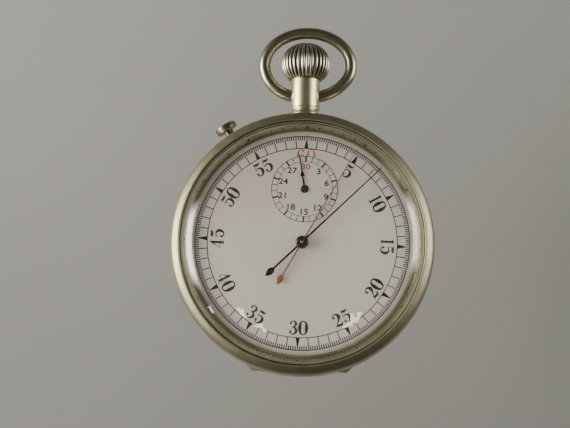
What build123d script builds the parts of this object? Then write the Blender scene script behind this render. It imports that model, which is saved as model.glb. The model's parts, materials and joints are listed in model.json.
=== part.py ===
from build123d import *
import os
from math import acos, atan2, cos, degrees, hypot, radians, sin, sqrt

# Split-seconds pocket stopwatch. Millimetres. Z points up out of the dial,
# Y points to the pendant at 12 o'clock, and the origin is on the flat back.

# ---- Driving dimensions -------------------------------------------------
# case
case_radius = 27.0
band_bottom, band_top = 4.25, 9.9
band_inner = 24.3
cover_radius = 26.3
cover_flat = 15.0
cover_wall = 0.55
cuvette_radius = 24.0
cuvette_base, cuvette_top = 0.95, 4.1
bezel_top = 12.3
wall_foot, wall_top = 22.3, 23.85
crystal_radius = 24.5
crystal_seat, crystal_top, crystal_wall = 11.9, 15.12, 0.6
shoulder_r, shoulder_z, shoulder_bend, shoulder_start = 20.05, 9.82, 5.0, 1.7
# hinge of the back, at 6 o'clock
hinge_y, hinge_z = -25.25, 3.9
knuckle_radius, hinge_pin_radius = 0.75, 0.35
hinge_half, hinge_tip = 9.7, 11.3
knuckle_gap = 0.06
back_chord, cuvette_chord = -24.4, -23.6
# pendant, bow and crown, on the stem's axis
stem_z = 6.0
pendant_radius, pendant_top, pendant_seat = 3.0, 34.9, 26.4
pendant_plug, pendant_neck, pendant_skirt, pendant_bore = 1.7, 2.6, 2.88, 0.75
skirt_y, neck_y, ring_y, tube_y = 27.0, 27.75, 27.87, 28.42
bow_centre_y, bow_half_width, bow_half_height, bow_wire = 37.35, 9.0, 6.95, 1.2
bow_pivot_y, bow_pivot_radius, bow_end_x = 30.4, 0.7, 3.95
crown_arc_centre_r, crown_arc_centre_y, crown_arc_radius = 0.8, 37.65, 4.3
crown_bottom, crown_skirt_depth, stem_seat_depth = 34.35, 1.7, 1.0
crown_bore = 3.15
flute_count, flute_radius = 32, 0.26
stem_radius = 0.6
# split button
button_heading = 124.3
button_head_radius, button_stem_radius = 2.3, 0.95
button_head_inner, button_head_outer = 28.2, 29.45
button_stem_end = 21.6
# movement
plate_radius, plate_bottom, plate_top = 23.7, 7.4, 9.15
recess_floor = 8.1
bridge_bottom, bridge_top = 3.9, 4.9
dial_bottom, dial_top = 9.2, 10.0
centre_space = 0.03
running = 0.06
arbor_radius = 0.3
jewel_radius = 0.8
balance_radius = 6.2
register_reach, register_heading = 10.9, 88.43
# levels of the movement, from the back towards the dial
winding_low, winding_high = 3.3, 3.8
pivot_low, pivot_high = 3.95, 9.0
cock_low, cock_high = 2.75, 3.4
pallet_cock_low, pallet_cock_high = 5.0, 5.5
register_low, register_high = 5.15, 5.4
hammer_low, hammer_high = 5.55, 5.85
lever_low, lever_high = 5.95, 6.5
fork_low, fork_high = 6.2, 6.45
clamp_low, clamp_high = 8.4, 8.75
# hands, as clockwise angles from 12 o'clock, and their levels
sweep_angle, split_angle, minute_angle = 46.3, 29.9, -9.4
minute_low, minute_high = 10.14, 10.26
split_low, split_high = 10.5, 10.64
sweep_low, sweep_high = 11.1, 11.24

os.makedirs("parts", exist_ok=True)


def polar(distance, heading, start=(0.0, 0.0)):
    """The point at a distance and heading from a start point."""
    turn = radians(heading)
    return (start[0] + distance * cos(turn), start[1] + distance * sin(turn))


def heading_between(start, end):
    """Heading in degrees from one point to another."""
    return degrees(atan2(end[1] - start[1], end[0] - start[0]))


def third_corner(first, second, first_reach, second_reach, side):
    """The point at given distances from two points, on one side of their line."""
    span = hypot(second[0] - first[0], second[1] - first[1])
    lean = degrees(acos((first_reach**2 + span**2 - second_reach**2) / (2 * first_reach * span)))
    return polar(first_reach, heading_between(first, second) + side * lean, first)


def mesh_distance(teeth, other_teeth, module):
    """Centre distance of two gears, with a little running space."""
    return module * (teeth + other_teeth) / 2 + centre_space


def meshing_phase(teeth, phase, other_teeth, heading):
    """Heading of a tooth on the second gear so that the two gears' teeth interleave."""
    past_tooth = (heading - phase) / (360 / teeth)
    return heading + 180 - (0.5 - past_tooth) * 360 / other_teeth


def save(piece, name):
    """Labels a finished piece and writes it as one STEP file."""
    piece.part.label = name
    export_step(piece.part, f"parts/{name}.step")


def gear_outline(centre, teeth, module, phase):
    """Corners of a toothed outline whose teeth narrow towards the tip."""
    pitch = 360 / teeth
    root = module * (teeth / 2 - 1.25)
    tip = module * (teeth / 2 + 0.85)
    corners = []
    for number in range(teeth):
        middle = phase + number * pitch
        corners.append(polar(root, middle - 0.27 * pitch, centre))
        corners.append(polar(tip, middle - 0.11 * pitch, centre))
        corners.append(polar(tip, middle + 0.11 * pitch, centre))
        corners.append(polar(root, middle + 0.27 * pitch, centre))
    return corners


def toothed_wheel(centre, teeth, module, phase, low, high, spokes=0, hub=1.2):
    """A gear, with openings between its spokes where it has any."""
    root = module * (teeth / 2 - 1.25)
    with BuildPart() as wheel:
        with BuildSketch(Plane.XY.offset(low)):
            with BuildLine():
                Polyline(*gear_outline(centre, teeth, module, phase), close=True)
            make_face()
        extrude(amount=high - low)
        if spokes:
            with BuildSketch(Plane.XY.offset(low)):
                with Locations(centre):
                    Circle(root - 0.6)
                    Circle(hub, mode=Mode.SUBTRACT)
                for number in range(spokes):
                    with Locations(Location(centre, (0, 0, 1), number * 360 / spokes)):
                        Rectangle(2 * root, 0.6, align=(Align.MIN, Align.CENTER), mode=Mode.SUBTRACT)
            extrude(amount=high - low, mode=Mode.SUBTRACT)
    return wheel.part


def post(centre, radius, low, high):
    """An upright round post."""
    with BuildPart() as rod:
        with BuildSketch(Plane.XY.offset(low)):
            with Locations(centre):
                Circle(radius)
        extrude(amount=high - low)
    return rod.part


def link(start, end, start_radius, end_radius, low, high):
    """A flat arm with round ends that tapers from one point to another."""
    reach = hypot(end[0] - start[0], end[1] - start[1])
    heading = heading_between(start, end)
    lean = degrees(acos((start_radius - end_radius) / reach))
    with BuildPart() as arm:
        with BuildSketch(Plane.XY.offset(low)):
            with Locations(start):
                Circle(start_radius)
            with Locations(end):
                Circle(end_radius)
            with BuildLine():
                Polyline(
                    polar(start_radius, heading + lean, start),
                    polar(start_radius, heading - lean, start),
                    polar(end_radius, heading - lean, end),
                    polar(end_radius, heading + lean, end),
                    close=True,
                )
            make_face()
        extrude(amount=high - low)
    return arm.part


def heart_cam(centre, long_reach, low, high, heading):
    """A heart-shaped cam that a flat hammer turns to zero."""
    steps = 12
    corners = []
    for number in range(-steps, steps + 1):
        share = abs(number) / steps
        reach = long_reach - (long_reach - 0.62) * share
        corners.append(polar(reach, heading + 180 * number / steps, centre))
    with BuildPart() as cam:
        with BuildSketch(Plane.XY.offset(low)):
            with BuildLine():
                Polyline(*corners[:-1], close=True)
            make_face()
        extrude(amount=high - low)
    return cam.part


def spiral_strip(centre, inner, outer, turns, thickness, low, high):
    """A flat strip wound into a spiral, such as a spring."""
    steps = 28 * turns
    inside = []
    outside = []
    for number in range(steps + 1):
        reach = inner + (outer - inner) * number / steps
        turn = 360 * turns * number / steps
        inside.append(polar(reach - thickness / 2, turn, centre))
        outside.append(polar(reach + thickness / 2, turn, centre))
    with BuildPart() as strip:
        with BuildSketch(Plane.XY.offset(low)):
            with BuildLine():
                Spline(*inside)
                Spline(*outside)
                Line(inside[0], outside[0])
                Line(inside[-1], outside[-1])
            make_face()
        extrude(amount=high - low)
    return strip.part


# ---- Places of the train and the keyless work ---------------------------
barrel_teeth, second_pinion_teeth, barrel_module = 78, 12, 0.2
second_teeth, third_teeth, pinion_teeth, train_module = 64, 60, 8, 0.18
fourth_teeth, fourth_module = 80, 0.14
register_teeth, idler_teeth, register_module = 30, 24, 0.22
crown_teeth, transmission_teeth, ratchet_teeth, winding_module = 20, 40, 50, 0.26
winding_pinion_teeth = 15

centre = (0.0, 0.0)
barrel_at = polar(14.0, 15)
third_at = polar(mesh_distance(third_teeth, pinion_teeth, train_module), -68)
second_at = third_corner(
    third_at,
    barrel_at,
    mesh_distance(second_teeth, pinion_teeth, train_module),
    mesh_distance(barrel_teeth, second_pinion_teeth, barrel_module),
    -1,
)
escape_at = polar(mesh_distance(fourth_teeth, pinion_teeth, fourth_module), 200)
pallet_at = polar(4.0, -130, escape_at)
balance_at = polar(4.7, -118, pallet_at)
register_at = polar(register_reach, register_heading)
idler_at = third_corner(
    centre, register_at, 6.1, mesh_distance(register_teeth, idler_teeth, register_module), 1
)
crown_wheel_at = (0.0, 15.9)
transmission_at = third_corner(
    crown_wheel_at,
    barrel_at,
    mesh_distance(crown_teeth, transmission_teeth, winding_module),
    mesh_distance(transmission_teeth, ratchet_teeth, winding_module),
    1,
)
operating_pivot = (-15.5, 7.0)
column_at = (-10.0, 5.0)
hammer_pivot = (-4.6, 17.2)
click_pivot = polar(8.1, -50, barrel_at)
cock_foot = (-17.6, -5.4)
pallet_foot = (-13.5, -1.5)
clamp_heading = 116.3
stem_axis = Axis((0, 0, stem_z), (0, 1, 0))
barrel_posts = [(-3.6, 22.0), (15.4, 15.4), (21.4, -5.4)]
train_posts = [(-1.5, -20.5), (18.3, -12.3)]
dial_feet_at = [polar(20.5, 240), polar(20.5, 60), polar(20.5, 330)]
case_screws_at = [polar(22.6, 195), polar(22.6, 285)]

# ---- Case ---------------------------------------------------------------
knuckle_edges = [-hinge_half + number * 2 * hinge_half / 7 for number in range(8)]
case_knuckles = (0, 3, 6)
back_knuckles = (1, 5)
cuvette_knuckles = (2, 4)


def knuckle_tube(number):
    """One knuckle of the hinge, with a hole for the pin."""
    start = knuckle_edges[number] + knuckle_gap / 2
    length = knuckle_edges[number + 1] - knuckle_edges[number] - knuckle_gap
    with BuildPart() as tube:
        with BuildSketch(Plane.YZ.offset(start)):
            with Locations((hinge_y, hinge_z)):
                Circle(knuckle_radius)
                Circle(hinge_pin_radius + 0.02, mode=Mode.SUBTRACT)
        extrude(amount=length)
    return tube.part


def knuckle_web(number, near_y, far_y, low, high):
    """The leaf that joins one knuckle to its cover or to the band."""
    start = knuckle_edges[number] + knuckle_gap / 2
    length = knuckle_edges[number + 1] - knuckle_edges[number] - knuckle_gap
    with BuildPart() as web:
        with BuildSketch(Plane.YZ.offset(start)):
            with BuildLine():
                Polyline((near_y, low), (far_y, low), (far_y, high), (near_y, high), close=True)
            make_face()
            with Locations((hinge_y, hinge_z)):
                Circle(hinge_pin_radius + 0.02, mode=Mode.SUBTRACT)
        extrude(amount=length)
    return web.part


with BuildPart() as case_band:
    with BuildSketch(Plane.XZ):
        with BuildLine():
            Polyline((26.25, band_bottom), (band_inner, band_bottom), (band_inner, 10.85))
            Polyline((band_inner, 10.85), (25.2, 10.85), (25.2, band_top), (26.6, band_top))
            ThreePointArc((26.6, band_top), (case_radius, 7.2), (26.25, band_bottom))
        make_face()
    revolve(axis=Axis.Z)
    # notch behind the hinge
    with BuildSketch(Plane.XY.offset(band_bottom)):
        with Locations((0, hinge_y - 1)):
            Rectangle(2 * hinge_tip, 3.6)
    extrude(amount=0.7, mode=Mode.SUBTRACT)
    for number in case_knuckles:
        add(knuckle_tube(number))
        add(knuckle_web(number, hinge_y - 0.6, hinge_y + 0.6, hinge_z, band_bottom + 1.0))
    # tapered hinge ends that lie along the rim
    for side in (-1, 1):
        with BuildSketch(Plane.YZ.offset(side * (hinge_half - 0.02))):
            with Locations((hinge_y, hinge_z + 0.45)):
                Rectangle(1.4, 1.2)
        with BuildSketch(Plane.YZ.offset(side * hinge_tip)):
            with Locations((hinge_y + 1.2, hinge_z + 0.75)):
                Rectangle(0.5, 0.5)
        loft()
    # holes for the hinge pin, pendant and split button
    with BuildSketch(Plane.YZ.offset(-hinge_half)):
        with Locations((hinge_y, hinge_z)):
            Circle(hinge_pin_radius + 0.02)
    extrude(amount=2 * hinge_half, mode=Mode.SUBTRACT)
    with BuildSketch(Plane.XZ.offset(-20)):
        with Locations((0, stem_z)):
            Circle(1.72)
    extrude(amount=-10, mode=Mode.SUBTRACT)
    with BuildSketch(Plane.XZ.offset(-pendant_seat + 0.02)):
        with Locations((0, stem_z)):
            Circle(2.72)
    extrude(amount=-4, mode=Mode.SUBTRACT)
    button_plane = Plane(
        origin=(0, 0, stem_z),
        x_dir=(-sin(radians(button_heading)), cos(radians(button_heading)), 0),
        z_dir=(cos(radians(button_heading)), sin(radians(button_heading)), 0),
    )
    with BuildSketch(button_plane.offset(20)):
        Circle(1.35)
    extrude(amount=10, mode=Mode.SUBTRACT)
save(case_band, "case_band")

with BuildPart() as hinge_pin:
    with BuildSketch(Plane.YZ.offset(-hinge_half + 0.1)):
        with Locations((hinge_y, hinge_z)):
            Circle(hinge_pin_radius)
    extrude(amount=2 * hinge_half - 0.2)
save(hinge_pin, "hinge_pin")

with BuildPart() as pendant:
    with BuildSketch(Plane.YZ):
        with BuildLine():
            Polyline(
                (24.5, stem_z + pendant_bore),
                (24.5, stem_z + pendant_plug),
                (pendant_seat, stem_z + pendant_plug),
                (pendant_seat, stem_z + 2.7),
                (skirt_y, stem_z + 2.7),
                (skirt_y, stem_z + pendant_skirt),
                (neck_y, stem_z + pendant_neck),
                (ring_y, stem_z + pendant_neck),
                (ring_y, stem_z + pendant_radius),
                (tube_y - 0.08, stem_z + pendant_radius),
                (tube_y - 0.08, stem_z + pendant_radius - 0.2),
                (tube_y, stem_z + pendant_radius - 0.2),
                (tube_y, stem_z + pendant_radius),
                (pendant_top - 0.3, stem_z + pendant_radius),
                (pendant_top, stem_z + 2.7),
                (pendant_top, stem_z + pendant_bore),
                close=True,
            )
        make_face()
    revolve(axis=stem_axis)
    # sockets for the bow's two ends
    for side in (-1, 1):
        with BuildSketch(Plane.YZ.offset(side * (pendant_radius + 0.2))):
            with Locations((bow_pivot_y, stem_z)):
                Circle(bow_pivot_radius + 0.08)
        extrude(amount=-side * 1.2, mode=Mode.SUBTRACT)
save(pendant, "pendant")

with BuildPart() as bow:
    end_turn = degrees(acos(bow_end_x / bow_half_width))
    with BuildLine(Plane.XY.offset(stem_z)) as bow_path:
        EllipticalCenterArc(
            (0, bow_centre_y), bow_half_width, bow_half_height, -end_turn, arc_size=180 + 2 * end_turn
        )
    with BuildSketch(Plane(origin=bow_path.line @ 0, z_dir=bow_path.line % 0)):
        Circle(bow_wire)
    sweep()
    # ends that turn in to the pendant, and their pivots
    for side in (-1, 1):
        with BuildSketch(Plane.YZ.offset(side * 3.12)):
            with Locations((bow_pivot_y, stem_z)):
                Circle(bow_wire)
        with BuildSketch(Plane.YZ.offset(side * 4.6)):
            with Locations((bow_pivot_y + 0.75, stem_z)):
                Circle(bow_wire)
        loft()
        with BuildSketch(Plane.YZ.offset(side * 2.5)):
            with Locations((bow_pivot_y, stem_z)):
                Circle(bow_pivot_radius)
        extrude(amount=side * 1.0)
save(bow, "bow")

with BuildPart() as bezel:
    with BuildSketch(Plane.XZ):
        with BuildLine():
            Polyline(
                (26.6, 9.95), (25.3, 9.95), (25.3, 10.95), (24.2, 10.95), (24.2, 10.05),
                (wall_foot, 10.05), (wall_top, crystal_seat), (24.6, crystal_seat), (24.6, 12.15),
                (24.75, bezel_top),
            )
            Line((24.75, bezel_top), (25.2, bezel_top))
            ThreePointArc((25.2, bezel_top), (26.3, 11.55), (26.6, 9.95))
        make_face()
    revolve(axis=Axis.Z)
save(bezel, "bezel")


def shoulder_point(bend, lean):
    """A point on the crystal's rounded shoulder, at a lean from upright."""
    turn = radians(lean)
    return (shoulder_r + bend * sin(turn), shoulder_z + bend * cos(turn))


crystal_foot = crystal_seat + 0.02
inner_bend = shoulder_bend - crystal_wall
rim_drop = sqrt(shoulder_bend**2 - (crystal_radius - shoulder_r) ** 2)
inner_reach = sqrt(inner_bend**2 - (crystal_foot - shoulder_z) ** 2)

with BuildPart() as crystal:
    with BuildSketch(Plane.XZ):
        with BuildLine():
            Line((shoulder_r + inner_reach, crystal_foot), (crystal_radius, crystal_foot))
            Line((crystal_radius, crystal_foot), (crystal_radius, shoulder_z + rim_drop))
            ThreePointArc(
                (crystal_radius, shoulder_z + rim_drop),
                shoulder_point(shoulder_bend, 30),
                shoulder_point(shoulder_bend, shoulder_start),
            )
            TangentArc((0, crystal_top), shoulder_point(shoulder_bend, shoulder_start), tangent=(1, 0))
            Line((0, crystal_top), (0, crystal_top - crystal_wall))
            TangentArc(
                (0, crystal_top - crystal_wall),
                shoulder_point(inner_bend, shoulder_start),
                tangent=(1, 0),
            )
            ThreePointArc(
                shoulder_point(inner_bend, shoulder_start),
                shoulder_point(inner_bend, 30),
                (shoulder_r + inner_reach, crystal_foot),
            )
        make_face()
    revolve(axis=Axis.Z)
save(crystal, "crystal")


def cover_solid(radius, flat, base, top, chord):
    """A shallow domed disc with a straight side where the hinge is."""
    with BuildPart() as dome:
        with BuildSketch(Plane.XZ):
            with BuildLine():
                Polyline((0, base), (flat, base))
                TangentArc((flat, base), (radius, top - 0.9), tangent=(1, 0))
                Polyline((radius, top - 0.9), (radius, top), (0, top), (0, base))
            make_face()
        revolve(axis=Axis.Z)
        split(bisect_by=Plane.XZ.offset(-chord), keep=Keep.BOTTOM)
    return dome.part


with BuildPart() as back_cover:
    add(cover_solid(cover_radius, cover_flat, 0.0, band_bottom - 0.05, back_chord))
    add(
        cover_solid(
            cover_radius - cover_wall, cover_flat, cover_wall, band_bottom - 0.05, back_chord + 0.5
        ),
        mode=Mode.SUBTRACT,
    )
    # openings for the dust cover's knuckles
    for number in cuvette_knuckles:
        with BuildSketch(Plane.XY.offset(3.0)):
            with Locations(((knuckle_edges[number] + knuckle_edges[number + 1]) / 2, back_chord)):
                Rectangle(2 * hinge_half / 7 + 0.1, 1.4)
        extrude(amount=2, mode=Mode.SUBTRACT)
    for number in back_knuckles:
        add(knuckle_tube(number))
        add(knuckle_web(number, hinge_y, back_chord + 0.2, hinge_z - knuckle_radius, hinge_z + 0.2))
save(back_cover, "back_cover")

with BuildPart() as dust_cover:
    add(cover_solid(cuvette_radius, 14.0, cuvette_base, cuvette_top, cuvette_chord))
    add(
        cover_solid(cuvette_radius - 0.45, 14.0, cuvette_base + 0.4, cuvette_top, cuvette_chord + 0.4),
        mode=Mode.SUBTRACT,
    )
    for number in cuvette_knuckles:
        add(knuckle_tube(number))
        add(knuckle_web(number, hinge_y, cuvette_chord + 0.2, hinge_z - 0.5, hinge_z + 0.2))
save(dust_cover, "dust_cover")

# ---- Crown, stem and winding pinion -------------------------------------
crown_cavity_top = crown_bottom + crown_skirt_depth
stem_end = crown_cavity_top + stem_seat_depth
foot_drop = crown_arc_centre_y - crown_bottom
crown_foot = crown_arc_centre_r + sqrt(crown_arc_radius**2 - foot_drop**2)

with BuildPart() as flute:
    with BuildLine(Plane.YZ) as flute_path:
        CenterArc((crown_arc_centre_y, stem_z + crown_arc_centre_r), crown_arc_radius + 0.1, 0, 180)
    with BuildSketch(Plane(origin=flute_path.line @ 0, z_dir=flute_path.line % 0)):
        Circle(flute_radius)
    sweep()

with BuildPart() as crown:
    with BuildSketch(Plane.YZ):
        with BuildLine():
            ThreePointArc(
                (crown_bottom, stem_z + crown_foot),
                (crown_arc_centre_y, stem_z + crown_arc_centre_r + crown_arc_radius),
                (crown_arc_centre_y + crown_arc_radius, stem_z + crown_arc_centre_r),
            )
            Polyline(
                (crown_arc_centre_y + crown_arc_radius, stem_z + crown_arc_centre_r),
                (crown_arc_centre_y + crown_arc_radius, stem_z),
                (stem_end, stem_z),
                (stem_end, stem_z + stem_radius),
                (crown_cavity_top, stem_z + stem_radius),
                (crown_cavity_top, stem_z + crown_bore),
                (crown_bottom, stem_z + crown_bore),
                (crown_bottom, stem_z + crown_foot),
            )
        make_face()
    revolve(axis=stem_axis)
    for number in range(flute_count):
        turned = flute.part.rotate(stem_axis, number * 360 / flute_count)
        add(turned, mode=Mode.SUBTRACT)
save(crown, "crown")

with BuildPart() as stem:
    with BuildSketch(Plane.XZ.offset(-14.6)):
        with Locations((0, stem_z)):
            Circle(0.4)
    extrude(amount=-3.0)
    with BuildSketch(Plane.XZ.offset(-17.6)):
        with Locations((0, stem_z)):
            Rectangle(0.84, 0.84)
    extrude(amount=-4.4)
    with BuildSketch(Plane.XZ.offset(-22.0)):
        with Locations((0, stem_z)):
            Circle(stem_radius)
    extrude(amount=22.0 - stem_end)
save(stem, "stem")

with BuildPart() as winding_pinion:
    with BuildSketch(Plane.XZ.offset(-18.4)):
        with BuildLine():
            Polyline(*gear_outline((0, stem_z), winding_pinion_teeth, 0.245, 0), close=True)
        make_face()
        with Locations((0, stem_z)):
            Rectangle(0.92, 0.92, mode=Mode.SUBTRACT)
    extrude(amount=-1.4)
    with BuildSketch(Plane.XZ.offset(-19.8)):
        with Locations((0, stem_z)):
            Circle(1.3)
            Rectangle(0.92, 0.92, mode=Mode.SUBTRACT)
    extrude(amount=-0.8)
save(winding_pinion, "winding_pinion")

# ---- Split button -------------------------------------------------------
with BuildPart() as button_tube:
    with BuildSketch(button_plane.offset(24.6)):
        Circle(1.35)
        Circle(button_stem_radius + running, mode=Mode.SUBTRACT)
    extrude(amount=2.3)
save(button_tube, "button_tube")

with BuildPart() as split_button:
    with BuildSketch(button_plane.offset(button_stem_end)):
        Circle(0.5)
    extrude(amount=3.0)
    with BuildSketch(button_plane.offset(24.4)):
        Circle(button_stem_radius)
    extrude(amount=button_head_inner - 24.4)
    with BuildSketch(button_plane.offset(button_head_inner)):
        Circle(button_head_radius)
    extrude(amount=button_head_outer - button_head_inner)
    top_rim = split_button.edges().filter_by(GeomType.CIRCLE).group_by(SortBy.RADIUS)[-1]
    fillet(top_rim, radius=0.3)
save(split_button, "split_button")

# ---- Plate and bridges --------------------------------------------------
pivots = [third_at, second_at, escape_at, pallet_at, balance_at, idler_at, barrel_at]

with BuildPart() as main_plate:
    with BuildSketch(Plane.XY.offset(plate_bottom)):
        Circle(plate_radius)
        with Locations(*pivots):
            Circle(arbor_radius + running, mode=Mode.SUBTRACT)
        with Locations(register_at):
            Circle(arbor_radius + running, mode=Mode.SUBTRACT)
        Circle(0.85, mode=Mode.SUBTRACT)
        with Locations(*dial_feet_at):
            Circle(0.5, mode=Mode.SUBTRACT)
        with Locations(*case_screws_at):
            Circle(0.5, mode=Mode.SUBTRACT)
    extrude(amount=plate_top - plate_bottom)
    # recess for the split wheel and its clamps
    with BuildSketch(Plane.XY.offset(recess_floor)):
        Circle(7.4)
        with Locations(Location(polar(9.0, clamp_heading), (0, 0, 1), clamp_heading)):
            Rectangle(11.0, 7.6)
    extrude(amount=plate_top - recess_floor, mode=Mode.SUBTRACT)
    # slot over the winding pinion
    with BuildSketch(Plane.XY.offset(plate_bottom)):
        with Locations((0, 19.5)):
            Rectangle(4.6, 2.8)
    extrude(amount=0.9, mode=Mode.SUBTRACT)
save(main_plate, "main_plate")

with BuildPart() as dial:
    with BuildSketch(Plane.XY.offset(dial_bottom)):
        Circle(23.6)
        Circle(1.1, mode=Mode.SUBTRACT)
        with Locations(register_at):
            Circle(0.5, mode=Mode.SUBTRACT)
    extrude(amount=dial_top - dial_bottom)
save(dial, "dial")

with BuildPart() as dial_feet:
    for place in dial_feet_at:
        add(post(place, 0.44, plate_bottom, dial_bottom))
save(dial_feet, "dial_feet")


def bridge_blank(corners, posts, low, high):
    """A flat bridge cut to the movement's outline, with feet up to the plate."""
    with BuildPart() as blank:
        with BuildSketch(Plane.XY.offset(low)):
            with BuildLine():
                Polyline(*corners, close=True)
            make_face()
            Circle(23.2, mode=Mode.INTERSECT)
        extrude(amount=high - low)
        for place in posts:
            add(post(place, 1.0, low, plate_bottom))
            add(post(place, 0.5, low, plate_bottom), mode=Mode.SUBTRACT)
    return blank.part


barrel_bridge_corners = [
    (-4.2, 2.2), (3.9, 2.4), (5.6, 1.0), (10.5, -0.1), (12.2, -0.4), (14.6, -6.8), (24, -8.4),
    (24, 24), (-4.8, 24), (-4.8, 14.0), (-4.2, 10.0),
]
train_bridge_corners = [
    (-7.4, -0.6), (-6.4, 1.0), (3.5, 1.4), (5.2, 0.2), (10.0, -0.9), (11.6, -1.2), (14.0, -7.6),
    (24, -9.2), (24, -24), (-3.0, -24), (-3.0, -10.0), (-5.2, -4.2),
]

with BuildPart() as barrel_bridge:
    add(bridge_blank(barrel_bridge_corners, barrel_posts, bridge_bottom, bridge_top))
    with BuildSketch(Plane.XY.offset(bridge_bottom)):
        with Locations(idler_at, register_at):
            Circle(arbor_radius + running)
        with Locations(barrel_at):
            Circle(0.9 + running)
        with Locations((0, 21.2)):
            Rectangle(4.8, 6.2)
    extrude(amount=bridge_top - bridge_bottom, mode=Mode.SUBTRACT)
    # studs that the crown wheel and transmission wheel turn on
    add(post(crown_wheel_at, 0.8, 3.25, bridge_bottom))
    add(post(transmission_at, 0.8, 3.25, bridge_bottom))
save(barrel_bridge, "barrel_bridge")

jewelled = (centre, third_at, second_at, escape_at)

with BuildPart() as train_bridge:
    add(bridge_blank(train_bridge_corners, train_posts, bridge_bottom, bridge_top))
    with BuildSketch(Plane.XY.offset(bridge_bottom)):
        with Locations(*jewelled):
            Circle(jewel_radius + 0.02)
    extrude(amount=bridge_top - bridge_bottom, mode=Mode.SUBTRACT)
save(train_bridge, "train_bridge")

with BuildPart() as jewels:
    for place in jewelled:
        add(post(place, jewel_radius, bridge_bottom, bridge_top))
        add(post(place, arbor_radius + running, bridge_bottom, bridge_top), mode=Mode.SUBTRACT)
save(jewels, "jewels")

with BuildPart() as balance_cock:
    add(link(cock_foot, balance_at, 1.7, 2.2, cock_low, cock_high))
    add(post(cock_foot, 1.6, cock_low, plate_bottom))
    with BuildSketch(Plane.XY.offset(cock_low)):
        with Locations(balance_at):
            Circle(arbor_radius + running)
        with Locations(cock_foot):
            Circle(0.5)
    extrude(amount=plate_bottom - cock_low, mode=Mode.SUBTRACT)
save(balance_cock, "balance_cock")

with BuildPart() as pallet_cock:
    add(link(pallet_foot, pallet_at, 1.15, 0.9, pallet_cock_low, pallet_cock_high))
    add(post(pallet_foot, 1.1, pallet_cock_low, plate_bottom))
    with BuildSketch(Plane.XY.offset(pallet_cock_low)):
        with Locations(pallet_at):
            Circle(arbor_radius + running)
        with Locations(pallet_foot):
            Circle(0.5)
    extrude(amount=plate_bottom - pallet_cock_low, mode=Mode.SUBTRACT)
save(pallet_cock, "pallet_cock")


def slotted_screw(place, head_radius, head_low, head_high, thread_high):
    """A screw with its slotted head facing the back."""
    with BuildPart() as screw:
        with BuildSketch(Plane.XY.offset(head_low)):
            with Locations(place):
                Circle(head_radius)
        extrude(amount=head_high - head_low)
        with BuildSketch(Plane.XY.offset(head_high)):
            with Locations(place):
                Circle(0.46)
        extrude(amount=thread_high - head_high)
        with BuildSketch(Plane.XY.offset(head_low)):
            with Locations(place):
                Rectangle(2 * head_radius, 0.22)
        extrude(amount=0.2, mode=Mode.SUBTRACT)
    return screw.part


with BuildPart() as bridge_screws:
    for place in barrel_posts + train_posts:
        add(slotted_screw(place, 0.95, bridge_bottom - 0.45, bridge_bottom, plate_bottom))
    add(slotted_screw(cock_foot, 0.95, cock_low - 0.45, cock_low, plate_bottom))
    add(slotted_screw(pallet_foot, 0.95, pallet_cock_low - 0.45, pallet_cock_low, plate_bottom))
save(bridge_screws, "bridge_screws")

with BuildPart() as case_screws:
    for place in case_screws_at:
        add(slotted_screw(place, 1.0, plate_bottom - 0.5, plate_bottom, plate_top))
save(case_screws, "case_screws")

# ---- Going train --------------------------------------------------------
third_phase = heading_between(third_at, centre)
third_pinion_phase = heading_between(third_at, second_at)
fourth_pinion_phase = meshing_phase(third_teeth, third_phase, pinion_teeth, third_phase)
second_phase = meshing_phase(pinion_teeth, third_pinion_phase, second_teeth, third_pinion_phase)
second_pinion_phase = heading_between(second_at, barrel_at)
barrel_phase = meshing_phase(
    second_pinion_teeth, second_pinion_phase, barrel_teeth, second_pinion_phase
)
escape_pinion_phase = meshing_phase(fourth_teeth, 200, pinion_teeth, 200)

with BuildPart() as fourth_wheel:
    add(toothed_wheel(centre, fourth_teeth, fourth_module, 200, 7.0, 7.2, 5))
    add(toothed_wheel(centre, pinion_teeth, train_module, fourth_pinion_phase, 6.0, 6.8))
    add(post(centre, arbor_radius, pivot_low, sweep_high - 0.04))
    # the finger that carries the minute register on once a turn
    with BuildSketch(Plane.XY.offset(register_low)):
        Circle(0.9)
        with Locations((0.0, -1.6)):
            Rectangle(0.4, 3.15)
    extrude(amount=0.3)
save(fourth_wheel, "fourth_wheel")

with BuildPart() as sweep_heart:
    add(heart_cam(centre, 1.85, hammer_low, hammer_high, 60))
    add(post(centre, arbor_radius, 5.5, 5.9), mode=Mode.SUBTRACT)
save(sweep_heart, "sweep_heart")

with BuildPart() as third_wheel:
    add(toothed_wheel(third_at, third_teeth, train_module, third_phase, 6.3, 6.55, 5))
    add(toothed_wheel(third_at, pinion_teeth, train_module, third_pinion_phase, 5.0, 5.5))
    add(post(third_at, arbor_radius, pivot_low, pivot_high))
save(third_wheel, "third_wheel")

with BuildPart() as second_wheel:
    add(toothed_wheel(second_at, second_teeth, train_module, second_phase, 5.1, 5.35, 5))
    add(toothed_wheel(second_at, second_pinion_teeth, barrel_module, second_pinion_phase, 6.85, 7.3))
    add(post(second_at, arbor_radius, pivot_low, pivot_high))
save(second_wheel, "second_wheel")

with BuildPart() as barrel:
    add(toothed_wheel(barrel_at, barrel_teeth, barrel_module, barrel_phase, 6.9, 7.3))
    add(post(barrel_at, 7.3, 5.75, 7.2))
    add(post(barrel_at, 7.0, 5.6, 6.95), mode=Mode.SUBTRACT)
    add(post(barrel_at, 1.0, 5.6, 7.4), mode=Mode.SUBTRACT)
save(barrel, "barrel")

with BuildPart() as barrel_cap:
    add(post(barrel_at, 7.3, 5.5, 5.75))
    add(post(barrel_at, 1.0, 5.4, 5.8), mode=Mode.SUBTRACT)
save(barrel_cap, "barrel_cap")

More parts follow.
